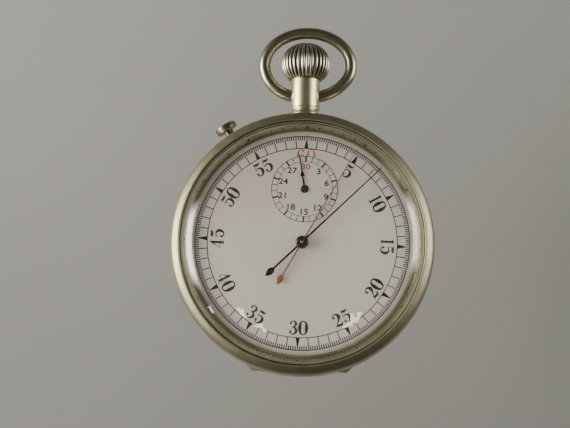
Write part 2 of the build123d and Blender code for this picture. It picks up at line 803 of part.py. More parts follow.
with BuildPart() as mainspring:
    add(spiral_strip(barrel_at, 1.7, 6.6, 7, 0.2, 5.85, 6.85))
save(mainspring, "mainspring")

# ---- Winding work -------------------------------------------------------
winding_levels = (winding_low, winding_high)
crown_wheel_phase = heading_between(crown_wheel_at, transmission_at)
transmission_phase = meshing_phase(
    crown_teeth, crown_wheel_phase, transmission_teeth, crown_wheel_phase
)
ratchet_phase = meshing_phase(
    transmission_teeth,
    transmission_phase,
    ratchet_teeth,
    heading_between(transmission_at, barrel_at),
)

with BuildPart() as barrel_arbor:
    add(post(barrel_at, 0.9, winding_low, 7.1))
    add(post(barrel_at, arbor_radius, 7.0, pivot_high))
    add(post(barrel_at, 1.3, 5.85, 6.85))
save(barrel_arbor, "barrel_arbor")

with BuildPart() as ratchet_wheel:
    add(toothed_wheel(barrel_at, ratchet_teeth, winding_module, ratchet_phase, *winding_levels))
    add(post(barrel_at, 0.9, winding_low - 0.1, winding_high + 0.1), mode=Mode.SUBTRACT)
save(ratchet_wheel, "ratchet_wheel")

with BuildPart() as crown_wheel:
    add(toothed_wheel(crown_wheel_at, crown_teeth, winding_module, crown_wheel_phase, *winding_levels))
    add(post(crown_wheel_at, 0.8 + running, winding_low - 0.1, winding_high + 0.1), mode=Mode.SUBTRACT)
save(crown_wheel, "crown_wheel")

with BuildPart() as transmission_wheel:
    add(
        toothed_wheel(
            transmission_at,
            transmission_teeth,
            winding_module,
            transmission_phase,
            *winding_levels,
            5,
            1.8,
        )
    )
    add(post(transmission_at, 0.8 + running, winding_low - 0.1, winding_high + 0.1), mode=Mode.SUBTRACT)
save(transmission_wheel, "transmission_wheel")

with BuildPart() as click:
    add(link(click_pivot, polar(7.35, -35, barrel_at), 0.7, 0.3, winding_low + 0.05, winding_high))
    add(post(click_pivot, 0.35 + running, winding_low - 0.1, winding_high + 0.1), mode=Mode.SUBTRACT)
save(click, "click")

# ---- Escapement and balance ---------------------------------------------
with BuildPart() as escape_wheel:
    with BuildSketch(Plane.XY.offset(fork_low)):
        with Locations(escape_at):
            Circle(2.2)
        for number in range(15):
            lean = number * 24
            with BuildLine():
                Polyline(
                    polar(2.1, lean - 7, escape_at),
                    polar(2.9, lean + 6, escape_at),
                    polar(2.9, lean + 8, escape_at),
                    polar(2.1, lean + 7, escape_at),
                    close=True,
                )
            make_face()
        with Locations(escape_at):
            Circle(1.8, mode=Mode.SUBTRACT)
            Circle(0.8)
        for number in range(4):
            with Locations(Location(escape_at, (0, 0, 1), number * 90)):
                Rectangle(2.0, 0.35, align=(Align.MIN, Align.CENTER))
    extrude(amount=0.25)
    add(toothed_wheel(escape_at, pinion_teeth, fourth_module, escape_pinion_phase, 6.9, 7.3))
    add(post(escape_at, arbor_radius, pivot_low, pivot_high))
save(escape_wheel, "escape_wheel")

fork_heading = heading_between(pallet_at, balance_at)
with BuildPart() as pallet_fork:
    add(post(pallet_at, arbor_radius, pallet_cock_low + 0.05, pivot_high))
    add(link(pallet_at, polar(2.9, fork_heading, pallet_at), 0.6, 0.3, fork_low, fork_high))
    for side in (-1, 1):
        arm_end = polar(2.45, fork_heading + side * 100, pallet_at)
        add(link(pallet_at, arm_end, 0.5, 0.3, fork_low, fork_high))
        horn = polar(3.4, fork_heading + side * 7, pallet_at)
        add(link(polar(2.8, fork_heading, pallet_at), horn, 0.25, 0.12, fork_low, fork_high))
save(pallet_fork, "pallet_fork")

with BuildPart() as balance_wheel:
    with BuildSketch(Plane.XY.offset(4.2)):
        with Locations(balance_at):
            Circle(balance_radius)
            Circle(balance_radius - 0.7, mode=Mode.SUBTRACT)
        with Locations(Location(balance_at, (0, 0, 1), 25)):
            Rectangle(2 * balance_radius - 1, 0.8)
        with Locations(balance_at):
            Circle(1.0)
            Circle(0.5, mode=Mode.SUBTRACT)
    extrude(amount=0.6)
save(balance_wheel, "balance_wheel")

with BuildPart() as balance_staff:
    add(post(balance_at, arbor_radius, cock_low + 0.05, pivot_high))
    add(post(balance_at, 0.5, 3.95, 5.6))
    add(post(balance_at, 1.05, 5.8, 6.0))
    add(post(polar(0.85, 25, balance_at), 0.15, 5.9, 6.4))
save(balance_staff, "balance_staff")

with BuildPart() as hairspring:
    add(spiral_strip(balance_at, 0.9, 3.4, 7, 0.1, 3.5, 3.75))
save(hairspring, "hairspring")

with BuildPart() as regulator:
    add(link(balance_at, polar(6.4, 205, balance_at), 1.5, 0.3, 2.45, 2.7))
    add(post(balance_at, arbor_radius + running, 2.3, 2.8), mode=Mode.SUBTRACT)
save(regulator, "regulator")

# ---- Minute register ----------------------------------------------------
register_levels = (register_low, register_high)
idler_phase = heading_between(idler_at, register_at)
register_phase = meshing_phase(idler_teeth, idler_phase, register_teeth, idler_phase)

with BuildPart() as minute_idler:
    add(toothed_wheel(idler_at, idler_teeth, register_module, idler_phase, *register_levels, 4, 1.0))
    add(post(idler_at, arbor_radius, pivot_low, pivot_high))
save(minute_idler, "minute_idler")

with BuildPart() as minute_wheel:
    add(
        toothed_wheel(
            register_at, register_teeth, register_module, register_phase, *register_levels, 4, 1.0
        )
    )
    add(post(register_at, arbor_radius, pivot_low, minute_low - 0.02))
    add(heart_cam(register_at, 1.25, hammer_low + 0.05, hammer_high, 60))
save(minute_wheel, "minute_wheel")


def hand_shaft(pivot, clock_angle, reach, tail, wide, narrow, low, high):
    """A tapered hand that points a clock angle from 12 o'clock."""
    heading = 90 - clock_angle
    tip = polar(reach, heading, pivot)
    end = polar(-tail, heading, pivot)
    with BuildPart() as shaft:
        with BuildSketch(Plane.XY.offset(low)):
            with BuildLine():
                Polyline(
                    polar(wide / 2, heading + 90, end), polar(wide / 2, heading - 90, end),
                    polar(wide / 2, heading - 90, pivot), polar(narrow / 2, heading - 90, tip),
                    polar(narrow / 2, heading + 90, tip), polar(wide / 2, heading + 90, pivot),
                    close=True,
                )
            make_face()
        extrude(amount=high - low)
    return shaft.part


def leaf(pivot, clock_angle, start, end, width, low, high):
    """The leaf-shaped counterweight on a hand's tail."""
    heading = 270 - clock_angle
    with BuildPart() as blade:
        with BuildSketch(Plane.XY.offset(low)):
            with BuildLine():
                root = polar(start, heading, pivot)
                tip = polar(end, heading, pivot)
                middle = polar(start + 0.4 * (end - start), heading, pivot)
                ThreePointArc(root, polar(width / 2, heading + 90, middle), tip)
                ThreePointArc(tip, polar(width / 2, heading - 90, middle), root)
            make_face()
        extrude(amount=high - low)
    return blade.part


with BuildPart() as minute_hand:
    add(post(register_at, 0.82, minute_low - 0.02, minute_high + 0.08))
    add(hand_shaft(register_at, minute_angle, 7.1, 0.4, 0.5, 0.16, minute_low, minute_high))
save(minute_hand, "minute_hand")

# ---- Sweep and split hands ----------------------------------------------
with BuildPart() as sweep_hand:
    add(post(centre, 1.18, sweep_low - 0.1, sweep_high + 0.36))
    add(hand_shaft(centre, sweep_angle, 22.1, 8.1, 0.4, 0.16, sweep_low, sweep_high))
    add(leaf(centre, sweep_angle, 7.9, 10.2, 1.1, sweep_low, sweep_high))
    add(post(centre, arbor_radius, sweep_low - 0.2, sweep_high - 0.04), mode=Mode.SUBTRACT)
save(sweep_hand, "sweep_hand")

with BuildPart() as split_hand:
    add(post(centre, 1.35, split_low - 0.08, split_high + 0.21))
    add(hand_shaft(centre, split_angle, 21.9, 8.0, 0.36, 0.16, split_low, split_high))
    add(leaf(centre, split_angle, 7.8, 10.0, 1.05, split_low, split_high))
    add(post(centre, 0.7, 10.3, 10.9), mode=Mode.SUBTRACT)
save(split_hand, "split_hand")

with BuildPart() as split_wheel:
    add(toothed_wheel(centre, 120, 0.07, 0, 8.45, 8.7, 4, 1.1))
    add(post(centre, 0.7, 7.5, 10.8))
    add(post(centre, arbor_radius + running, 7.4, 11), mode=Mode.SUBTRACT)
save(split_wheel, "split_wheel")

# ---- Levers -------------------------------------------------------------
with BuildPart() as lever_studs:
    add(post(operating_pivot, 0.5, 5.6, plate_bottom))
    add(post(column_at, 0.5, 4.9, plate_bottom))
    add(post(hammer_pivot, 0.5, 5.2, plate_bottom))
    add(post(click_pivot, 0.35, 3.3, bridge_bottom))
    for side in (-1, 1):
        pivot = polar(2.9, clamp_heading + side * 90, polar(8.8, clamp_heading))
        add(post(pivot, 0.4, recess_floor, 8.95))
save(lever_studs, "lever_studs")

with BuildPart() as operating_lever:
    add(link(operating_pivot, (0.9, 13.75), 1.2, 0.45, lever_low, lever_high))
    add(link(operating_pivot, (-12.9, 4.4), 1.0, 0.3, lever_low, lever_high))
    add(post(operating_pivot, 0.5 + running, lever_low - 0.05, lever_high + 0.1), mode=Mode.SUBTRACT)
save(operating_lever, "operating_lever")

with BuildPart() as column_wheel:
    add(toothed_wheel(column_at, 12, 0.36, 10, lever_low, 6.3))
    with BuildSketch(Plane.XY.offset(5.1)):
        for number in range(6):
            with Locations(polar(1.35, number * 60, column_at)):
                Circle(0.38)
    extrude(amount=0.9)
    add(post(column_at, 0.5 + running, 5.0, 6.4), mode=Mode.SUBTRACT)
save(column_wheel, "column_wheel")

with BuildPart() as reset_hammer:
    add(link(hammer_pivot, (-4.9, 0.4), 1.2, 0.7, hammer_low, hammer_high))
    with BuildSketch(Plane.XY.offset(hammer_low)):
        with Locations((-2.15, 0.0)):
            Rectangle(2.9, 1.4, align=(Align.MAX, Align.CENTER))
        with Locations((register_at[0] - 1.45, register_at[1])):
            Rectangle(3.2, 1.2, align=(Align.MAX, Align.CENTER))
        with Locations((-7.4, 6.6)):
            Rectangle(2.8, 0.8, align=(Align.MIN, Align.CENTER))
    extrude(amount=hammer_high - hammer_low)
    add(post(hammer_pivot, 0.5 + running, 5.4, 6.0), mode=Mode.SUBTRACT)
save(reset_hammer, "reset_hammer")

for side, name in ((-1, "split_clamp_right"), (1, "split_clamp_left")):
    pivot = polar(2.9, clamp_heading + side * 90, polar(8.8, clamp_heading))
    tail = polar(1.7, clamp_heading + side * 90, polar(13.2, clamp_heading))
    inner, outer = 4.75, 5.65
    with BuildPart() as clamp:
        add(link(pivot, tail, 0.85, 0.35, clamp_low, clamp_high))
        with BuildSketch(Plane.XY.offset(clamp_low)):
            with BuildLine():
                start, middle, end = (clamp_heading + side * turn for turn in (26, 62, 98))
                ThreePointArc(polar(inner, start), polar(inner, middle), polar(inner, end))
                Line(polar(inner, end), polar(outer, end))
                ThreePointArc(polar(outer, end), polar(outer, middle), polar(outer, start))
                Line(polar(outer, start), polar(inner, start))
            make_face()
        extrude(amount=clamp_high - clamp_low)
        add(link(pivot, polar(5.3, clamp_heading + side * 28), 0.85, 0.4, clamp_low, clamp_high))
        add(post(pivot, 0.4 + running, clamp_low - 0.1, clamp_high + 0.15), mode=Mode.SUBTRACT)
    save(clamp, name)
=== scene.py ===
import json
from math import acos, atan2, cos, degrees, pi, radians, sin, sqrt, tan

import bmesh
import bpy
from mathutils import Matrix, Vector


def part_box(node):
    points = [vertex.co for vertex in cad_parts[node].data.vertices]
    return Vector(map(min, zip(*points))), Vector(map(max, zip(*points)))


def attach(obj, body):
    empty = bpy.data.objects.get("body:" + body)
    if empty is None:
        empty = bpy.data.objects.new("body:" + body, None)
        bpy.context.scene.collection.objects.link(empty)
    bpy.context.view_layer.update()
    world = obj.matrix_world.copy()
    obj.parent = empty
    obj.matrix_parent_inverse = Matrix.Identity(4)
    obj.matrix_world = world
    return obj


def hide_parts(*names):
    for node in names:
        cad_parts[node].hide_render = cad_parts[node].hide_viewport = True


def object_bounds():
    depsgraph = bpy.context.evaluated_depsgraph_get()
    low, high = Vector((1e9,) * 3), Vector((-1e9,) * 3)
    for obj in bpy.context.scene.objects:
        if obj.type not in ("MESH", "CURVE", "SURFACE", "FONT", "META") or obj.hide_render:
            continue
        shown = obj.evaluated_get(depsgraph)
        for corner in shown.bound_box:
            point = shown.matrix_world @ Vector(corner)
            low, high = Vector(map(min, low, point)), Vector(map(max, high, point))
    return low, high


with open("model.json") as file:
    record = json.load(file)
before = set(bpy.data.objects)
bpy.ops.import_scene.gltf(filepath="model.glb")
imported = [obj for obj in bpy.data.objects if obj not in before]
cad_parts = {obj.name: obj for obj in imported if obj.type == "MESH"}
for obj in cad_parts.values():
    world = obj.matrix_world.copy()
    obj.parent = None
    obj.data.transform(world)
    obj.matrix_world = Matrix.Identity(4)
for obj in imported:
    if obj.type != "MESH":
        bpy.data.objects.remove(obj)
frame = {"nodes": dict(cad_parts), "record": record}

# A split-seconds pocket stopwatch lying on its back. Profiles are in millimetres
# in the CAD's frame (+Z out of the dial, +Y to the crown), and MM makes them metres.
MM = 0.001
cad_low, cad_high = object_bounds()


def top_of(node):
    """Highest Z of a CAD node, in millimetres."""
    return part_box(node)[1].z / MM


def middle_of(node):
    """Centre of a CAD node's box, in millimetres."""
    low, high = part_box(node)
    return (low + high) / 2 / MM


# ---- Places read from the CAD -------------------------------------------
dial_z = top_of("dial")
bezel_low, bezel_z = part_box("bezel")[0].z / MM, top_of("bezel")
crystal_z = top_of("crystal")
crystal_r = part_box("crystal")[1].x / MM
bezel_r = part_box("bezel")[1].x / MM
stem_z = middle_of("stem").z
crown_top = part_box("crown")[1].y / MM
crown_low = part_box("crown")[0].y / MM
crown_r = (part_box("crown")[1].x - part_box("crown")[0].x) / 2 / MM
pendant_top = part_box("pendant")[1].y / MM
register_at = Vector((middle_of("minute_wheel").x, middle_of("minute_wheel").y))
black_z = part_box("sweep_hand")[0].z / MM
red_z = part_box("split_hand")[0].z / MM
small_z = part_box("minute_hand")[0].z / MM
bow_low, bow_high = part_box("bow")[0] / MM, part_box("bow")[1] / MM

# clockwise angles from 12 o'clock
SWEEP_ANGLE, SPLIT_ANGLE, MINUTE_ANGLE = 45.8, 29.4, -9.7
DIAL_TURN = 1.42  # the dial sits a touch clockwise of the case
RIB_COUNT, RIB_START = 32, 91.2  # the crown's ribs, and the heading of one groove


# ---- Material helpers ---------------------------------------------------
def new_material(name):
    """A new node material, its tree and its Principled shader."""
    material = bpy.data.materials.new(name)
    material.use_nodes = True
    tree = material.node_tree
    tree.nodes.clear()
    output = tree.nodes.new("ShaderNodeOutputMaterial")
    shader = tree.nodes.new("ShaderNodeBsdfPrincipled")
    tree.links.new(shader.outputs[0], output.inputs[0])
    return material, tree, shader


def noise(tree, scale, detail=3.0):
    """Noise in object space."""
    coords = tree.nodes.new("ShaderNodeTexCoord")
    texture = tree.nodes.new("ShaderNodeTexNoise")
    texture.inputs["Scale"].default_value = scale
    texture.inputs["Detail"].default_value = detail
    tree.links.new(coords.outputs["Object"], texture.inputs["Vector"])
    return texture.outputs["Fac"]


def ramp(tree, source, stops):
    """A colour ramp over a source value; stops are (place, colour) pairs."""
    node = tree.nodes.new("ShaderNodeValToRGB")
    elements = node.color_ramp.elements
    while len(elements) < len(stops):
        elements.new(0.5)
    for element, (place, colour) in zip(elements, stops):
        element.position = place
        element.color = (*colour, 1)
    tree.links.new(source, node.inputs["Fac"])
    return node.outputs["Color"]


def span(tree, source, low, high):
    """Maps the middle half of a 0 to 1 value to a range."""
    node = tree.nodes.new("ShaderNodeMapRange")
    node.inputs["From Min"].default_value = 0.25
    node.inputs["From Max"].default_value = 0.75
    node.inputs["To Min"].default_value = low
    node.inputs["To Max"].default_value = high
    tree.links.new(source, node.inputs["Value"])
    return node.outputs["Result"]


def bump(tree, shader, source, depth, strength=1.0):
    """Surface relief of a given depth in metres."""
    node = tree.nodes.new("ShaderNodeBump")
    node.inputs["Strength"].default_value = strength
    node.inputs["Distance"].default_value = depth
    tree.links.new(source, node.inputs["Height"])
    tree.links.new(node.outputs["Normal"], shader.inputs["Normal"])


def math_node(tree, operation, *values):
    """A Math node over numbers and other nodes' outputs."""
    node = tree.nodes.new("ShaderNodeMath")
    node.operation = operation
    for socket, value in zip(node.inputs, values):
        if isinstance(value, (int, float)):
            socket.default_value = value
        else:
            tree.links.new(value, socket)
    return node.outputs[0]


def vector_node(tree, operation, source, constant=None, result="Vector"):
    """A Vector Math node over another node's output and a constant vector."""
    node = tree.nodes.new("ShaderNodeVectorMath")
    node.operation = operation
    tree.links.new(source, node.inputs[0])
    if constant:
        node.inputs[1].default_value = constant
    return node.outputs[result]


def leaning_tone(tree, source, amount, base, lean):
    """Noise scaled to an amount round a base, plus a steady change along a direction, per metre."""
    coords = tree.nodes.new("ShaderNodeTexCoord")
    slope = vector_node(tree, "DOT_PRODUCT", coords.outputs["Object"], lean, "Value")
    return math_node(tree, "ADD", math_node(tree, "MULTIPLY_ADD", source, amount, base), slope)


def metal(name, dark, light, rough_low, rough_high, grain=900.0, relief=1.5e-6):
    """Metal with uneven tone and gloss and fine handling marks."""
    material, tree, shader = new_material(name)
    shader.inputs["Metallic"].default_value = 1.0
    tone = noise(tree, grain * 0.35, 4.0)
    tree.links.new(ramp(tree, tone, [(0.3, dark), (0.7, light)]), shader.inputs["Base Color"])
    tree.links.new(span(tree, noise(tree, grain, 5.0), rough_low, rough_high), shader.inputs["Roughness"])
    bump(tree, shader, noise(tree, grain * 5, 2.0), relief)
    return material


RIM_SHADE_START, RIM_SHADE_END = 21.7, 22.6  # radii between which the bezel shades the enamel


def enamel_material():
    """White fired enamel: slightly warm, faintly mottled, a little glossy and shaded at its rim, with
    painted shade making it darker toward 12 o'clock and a little toward 9 o'clock.
    """
    material, tree, shader = new_material("white_enamel")
    # painted shade: the tone leans darker toward 12 o'clock and a little toward 9 o'clock
    tone = leaning_tone(tree, noise(tree, 90.0, 4.0), 0.10, 0.50, (6.0, -20.0, 0.0))
    stops = [(0.05, (0.35, 0.314, 0.270)), (0.5, (0.496, 0.458, 0.400)), (1.0, (0.506, 0.467, 0.408))]
    coords = tree.nodes.new("ShaderNodeTexCoord")
    flat = vector_node(tree, "MULTIPLY", coords.outputs["Object"], (1.0, 1.0, 0.0))
    rim = tree.nodes.new("ShaderNodeMapRange")
    rim.inputs["From Min"].default_value = RIM_SHADE_START * MM
    rim.inputs["From Max"].default_value = RIM_SHADE_END * MM
    tree.links.new(vector_node(tree, "LENGTH", flat, result="Value"), rim.inputs["Value"])
    shadow = tree.nodes.new("ShaderNodeMix")
    shadow.data_type = "RGBA"
    tree.links.new(rim.outputs["Result"], shadow.inputs["Factor"])
    tree.links.new(ramp(tree, tone, stops), shadow.inputs["A"])
    shadow.inputs["B"].default_value = (0.27, 0.245, 0.205, 1)
    tree.links.new(shadow.outputs["Result"], shader.inputs["Base Color"])
    tree.links.new(span(tree, noise(tree, 400.0), 0.30, 0.38), shader.inputs["Roughness"])
    shader.inputs["Coat Weight"].default_value = 0.15
    shader.inputs["Coat Roughness"].default_value = 0.25
    bump(tree, shader, noise(tree, 260.0, 1.0), 4e-6, 0.3)
    return material


def ink_material(name, dark, light):
    """Fired dial print."""
    material, tree, shader = new_material(name)
    tree.links.new(ramp(tree, noise(tree, 1500.0), [(0.3, dark), (0.8, light)]), shader.inputs["Base Color"])
    tree.links.new(span(tree, noise(tree, 900.0), 0.3, 0.45), shader.inputs["Roughness"])
    return material


def lacquer_material(name, dark, light):
    """Glossy lacquer on a steel hand, a little uneven."""
    material, tree, shader = new_material(name)
    tree.links.new(ramp(tree, noise(tree, 700.0), [(0.3, dark), (0.7, light)]), shader.inputs["Base Color"])
    tree.links.new(span(tree, noise(tree, 1200.0), 0.18, 0.35), shader.inputs["Roughness"])
    shader.inputs["Coat Weight"].default_value = 0.6
    shader.inputs["Coat Roughness"].default_value = 0.1
    return material


def glass_material():
    """Clear crystal that lets lamps through to the dial."""
    material, tree, shader = new_material("crystal_glass")
    shader.inputs["Base Color"].default_value = (0.985, 0.99, 0.985, 1)
    shader.inputs["Transmission Weight"].default_value = 1.0
    shader.inputs["IOR"].default_value = 1.5
    tree.links.new(span(tree, noise(tree, 500.0, 5.0), 0.0, 0.02), shader.inputs["Roughness"])
    clear = tree.nodes.new("ShaderNodeBsdfTransparent")
    path = tree.nodes.new("ShaderNodeLightPath")
    mix = tree.nodes.new("ShaderNodeMixShader")
    output = next(node for node in tree.nodes if node.type == "OUTPUT_MATERIAL")
    tree.links.new(path.outputs["Is Shadow Ray"], mix.inputs[0])
    tree.links.new(shader.outputs[0], mix.inputs[1])
    tree.links.new(clear.outputs[0], mix.inputs[2])
    tree.links.new(mix.outputs[0], output.inputs[0])
    return material


def floor_material():
    """Plain pale backdrop with the faintest mottle, and painted light making it a little lighter toward the
    upper left.
    """
    material, tree, shader = new_material("floor")
    # painted light: the tone leans lighter toward the upper left
    tone = leaning_tone(tree, noise(tree, 12.0), 0.12, 0.44, (-2.6, 5.0, 0.0))
    stops = [(0.0, (0.214, 0.211, 0.197)), (1.0, (0.352, 0.346, 0.325))]
    tree.links.new(ramp(tree, tone, stops), shader.inputs["Base Color"])
    shader.inputs["Roughness"].default_value = 0.9
    return material


def fluted_metal(name, bright, tarnish_and_shade, ribs, first):
    """Nickel on a ribbed knob whose grooves are darkened by tarnish and painted shade; ribs go round the
    stem's line.
    """
    material, tree, shader = new_material(name)
    shader.inputs["Metallic"].default_value = 1.0
    coords = tree.nodes.new("ShaderNodeTexCoord")
    split = tree.nodes.new("ShaderNodeSeparateXYZ")
    tree.links.new(coords.outputs["Object"], split.inputs[0])
    height = math_node(tree, "SUBTRACT", split.outputs["Z"], stem_z * MM)
    turn = math_node(tree, "ARCTAN2", height, split.outputs["X"])
    from_rib = math_node(tree, "SUBTRACT", turn, radians(first))
    wave = math_node(tree, "COSINE", math_node(tree, "MULTIPLY", from_rib, float(ribs)))
    groove = math_node(tree, "MULTIPLY_ADD", wave, 0.5, 0.5)
    uneven = math_node(tree, "MULTIPLY_ADD", noise(tree, 500.0, 2.0), 0.25, -0.125)
    # tarnish and painted shade: the colour goes near black toward the middle of each groove
    colour = ramp(tree, math_node(tree, "ADD", groove, uneven), [(0.52, bright), (0.92, tarnish_and_shade)])
    tree.links.new(colour, shader.inputs["Base Color"])
    tree.links.new(span(tree, noise(tree, 1500.0, 5.0), 0.28, 0.36), shader.inputs["Roughness"])
    return material


NICKEL = metal("nickel_case", (0.52, 0.49, 0.355), (0.60, 0.565, 0.43), 0.32, 0.42)
NICKEL_SATIN = metal("nickel_satin", (0.55, 0.50, 0.295), (0.65, 0.59, 0.375), 0.33, 0.39, 1500.0, 2e-6)
NICKEL_DULL = metal("nickel_dull", (0.22, 0.20, 0.13), (0.34, 0.31, 0.215), 0.24, 0.36, 1500.0, 2e-6)
NICKEL_BRIGHT = metal("nickel_bright", (0.32, 0.30, 0.185), (0.39, 0.37, 0.245), 0.02, 0.05)
NICKEL_BEZEL = metal("nickel_bezel", (0.30, 0.283, 0.175), (0.37, 0.353, 0.23), 0.42, 0.49)
NICKEL_BOW = metal("nickel_bow", (0.35, 0.325, 0.22), (0.42, 0.39, 0.275), 0.28, 0.36)
# near-black metal for the crystal's seam: tarnish and painted shade in the joint
TARNISH_AND_SHADE = metal("tarnish_and_shade", (0.035, 0.03, 0.02), (0.07, 0.06, 0.04), 0.45, 0.6)
# the grooves' near-black colour is tarnish and painted shade
NICKEL_FLUTED = fluted_metal("nickel_fluted", (0.50, 0.475, 0.355), (0.07, 0.062, 0.042),
                             RIB_COUNT, RIB_START)
NICKEL_PLATE = metal("nickel_plate", (0.52, 0.50, 0.45), (0.66, 0.64, 0.58), 0.25, 0.38, 600.0)
BRASS = metal("gilt_brass", (0.62, 0.44, 0.19), (0.80, 0.61, 0.32), 0.18, 0.30, 1200.0)
STEEL = metal("polished_steel", (0.46, 0.46, 0.46), (0.62, 0.62, 0.61), 0.14, 0.26, 1200.0)
BLUE_STEEL = metal("blued_steel", (0.03, 0.05, 0.20), (0.07, 0.10, 0.36), 0.16, 0.26, 1200.0)
ENAMEL = enamel_material()
BLACK_INK = ink_material("black_print", (0.006, 0.006, 0.007), (0.02, 0.02, 0.022))
RED_INK = ink_material("red_print", (0.24, 0.070, 0.042), (0.32, 0.105, 0.065))
BLACK_LACQUER = lacquer_material("black_lacquer", (0.004, 0.004, 0.005), (0.012, 0.012, 0.014))
RED_LACQUER = lacquer_material("red_lacquer", (0.18, 0.060, 0.034), (0.25, 0.090, 0.055))
GLASS = glass_material()
RUBY = lacquer_material("ruby", (0.32, 0.015, 0.05), (0.46, 0.03, 0.09))

SLOT_MATERIALS = {
    "nickel_case": NICKEL,
    "nickel_plate": NICKEL_PLATE,
    "gilt_brass": BRASS,
    "polished_steel": STEEL,
    "blued_steel": BLUE_STEEL,
    "white_enamel": ENAMEL,
    "black_hands": BLACK_LACQUER,
    "red_hands": RED_LACQUER,
    "crystal_glass": GLASS,
    "ruby": RUBY,
}
DULL_NODES = ("split_button", "hinge_pin")
node_slot = {entry["node"]: entry["material_slot"] for entry in frame["record"]["subparts"]}
for node, item in frame["nodes"].items():
    item.data.materials.clear()
    item.data.materials.append(NICKEL_DULL if node in DULL_NODES else SLOT_MATERIALS[node_slot[node]])


# ---- Mesh helpers -------------------------------------------------------
def add_piece(name, vertices, faces, body, slot, material, stands_for=(), sharp=35.0):
    """A closed mesh in millimetres, made a piece that rides on a CAD body."""
    mesh = bpy.data.meshes.new(name)
    mesh.from_pydata([Vector(v) * MM for v in vertices], [], faces)
    work = bmesh.new()
    work.from_mesh(mesh)
    bmesh.ops.remove_doubles(work, verts=work.verts, dist=1e-8)
    bmesh.ops.recalc_face_normals(work, faces=work.faces)
    work.to_mesh(mesh)
    work.free()
    mesh.shade_smooth()
    mesh.set_sharp_from_angle(angle=radians(sharp))
    mesh.materials.append(material)
    item = bpy.data.objects.new(name, mesh)
    bpy.context.scene.collection.objects.link(item)
    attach(item, body)
    if stands_for:
        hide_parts(*stands_for)


def arc(centre, radius, start, end, steps=10):
    """Points on a circle between two angles in degrees."""
    points = []
    for number in range(steps + 1):
        turn = radians(start + (end - start) * number / steps)
        points.append((centre[0] + radius * cos(turn), centre[1] + radius * sin(turn)))
    return points


def rounded(points, radii, steps):
    """A closed outline whose corners are rounded, each by its own radius; zero leaves it sharp."""
    result = []
    for number, radius in enumerate(radii):
        here = Vector(points[number])
        if radius <= 0:
            result.append(tuple(here))
            continue
        before = Vector(points[number - 1]) - here
        after = Vector(points[(number + 1) % len(points)]) - here
        cut = min(radius, before.length * 0.45, after.length * 0.45)
        start = here + before.normalized() * cut
        end = here + after.normalized() * cut
        for step in range(steps + 1):
            t = step / steps
            point = start * (1 - t) ** 2 + here * 2 * t * (1 - t) + end * t**2
            result.append(tuple(point))
    return result


def skin_faces(rows, columns, wrap=False):
    """Four-sided faces between rows of vertices that are each a closed loop; wrap joins last to first."""
    faces = []
    for row in range(rows if wrap else rows - 1):
        here, above = row * columns, (row + 1) % rows * columns
        for column in range(columns):
            other = (column + 1) % columns
            faces.append((here + column, here + other, above + other, above + column))
    return faces


def lathe(profile, segments=240, axis="Z", height=0.0):
    """A closed (radius, height) outline turned about Z, or about a line along Y at a height."""
    vertices = []
    for number in range(segments):
        turn = 2 * pi * number / segments
        for radius, along in profile:
            if axis == "Z":
                vertices.append((radius * cos(turn), radius * sin(turn), along))
            else:
                vertices.append((radius * cos(turn), along, height + radius * sin(turn)))
    return vertices, skin_faces(segments, len(profile), wrap=True)


def prism(outline, low, high, bevel=0.0):
    """Vertices and faces of a flat shape with an optional bevelled upper rim."""
    pairs = zip([outline[-1], *outline], outline)
    area = sum(before[0] * here[1] - here[0] * before[1] for before, here in pairs)
    if area < 0:
        outline = outline[::-1]
    count = len(outline)
    levels = [(0.0, low), (0.0, high)]
    if bevel:
        levels = [(0.0, low), (0.0, high - bevel), (bevel * 0.35, high - bevel * 0.3), (bevel, high)]
    vertices = []
    for inset, level in levels:
        for number in range(count):
            here = Vector(outline[number])
            along = Vector(outline[(number + 1) % count]) - Vector(outline[number - 1])
            inward = Vector((-along.y, along.x))
            if inward.length > 0:
                inward.normalize()
            point = here + inward * inset
            vertices.append((point.x, point.y, level))
    faces = [tuple(reversed(range(count))), *skin_faces(len(levels), count)]
    faces.append(tuple(range((len(levels) - 1) * count, len(levels) * count)))
    return vertices, faces


def merged(parts):
    """Joins several (vertices, faces) pairs into one."""
    vertices, faces = [], []
    for part_vertices, part_faces in parts:
        start = len(vertices)
        vertices.extend(part_vertices)
        faces.extend(tuple(index + start for index in face) for face in part_faces)
    return vertices, faces


def moved(shape, centre):
    """A (vertices, faces) pair moved to a centre in X and Y."""
    vertices, faces = shape
    return [(x + centre[0], y + centre[1], z) for x, y, z in vertices], faces


def turned(point, centre, angle):
    """A point turned clockwise by an angle and moved to a centre."""
    lean = radians(-angle)
    return (centre[0] + point[0] * cos(lean) - point[1] * sin(lean),
            centre[1] + point[0] * sin(lean) + point[1] * cos(lean))


def clock(radius, angle, centre=(0.0, 0.0)):
    """The point at a radius and a clockwise angle from 12 o'clock."""
    turn = radians(90 - angle)
    return (centre[0] + radius * cos(turn), centre[1] + radius * sin(turn))


# ---- Dial print ---------------------------------------------------------
INK_HEIGHT = 0.012
TRACK_INNER, FIFTH_INNER, TRACK_OUTER = 19.22, 20.9, 21.74
INNER_LINE, OUTER_LINE, SECOND_LINE, FIFTH_LINE = 0.17, 0.19, 0.19, 0.22
WEDGE_FOOT, WEDGE_TIP = 0.90, 0.16
NUMERAL_RADIUS, NUMERAL_HEIGHT = 17.22, 2.74
SIXTY_RADIUS, SIXTY_WEIGHT = 17.72, 0.72
REGISTER_BASE = 0.03  # the register is on its own thin disc of enamel
REGISTER_HOLE, REGISTER_EDGE = 0.9, 6.84
SUB_RING_INNER, SUB_RING_OUTER = 5.6, 6.72
SUB_INNER_LINE, SUB_OUTER_LINE, MINUTE_LINE, THIRD_LINE = 0.09, 0.13, 0.13, 0.34
SMALL_RADIUS, SMALL_HEIGHT, SMALL_STRETCH, SMALL_OFFSET = 4.62, 1.2, 1.18, 0.03
CAP_SHARE = 0.72  # a capital's height as a share of the text size
print_low, print_high = dial_z, dial_z + INK_HEIGHT


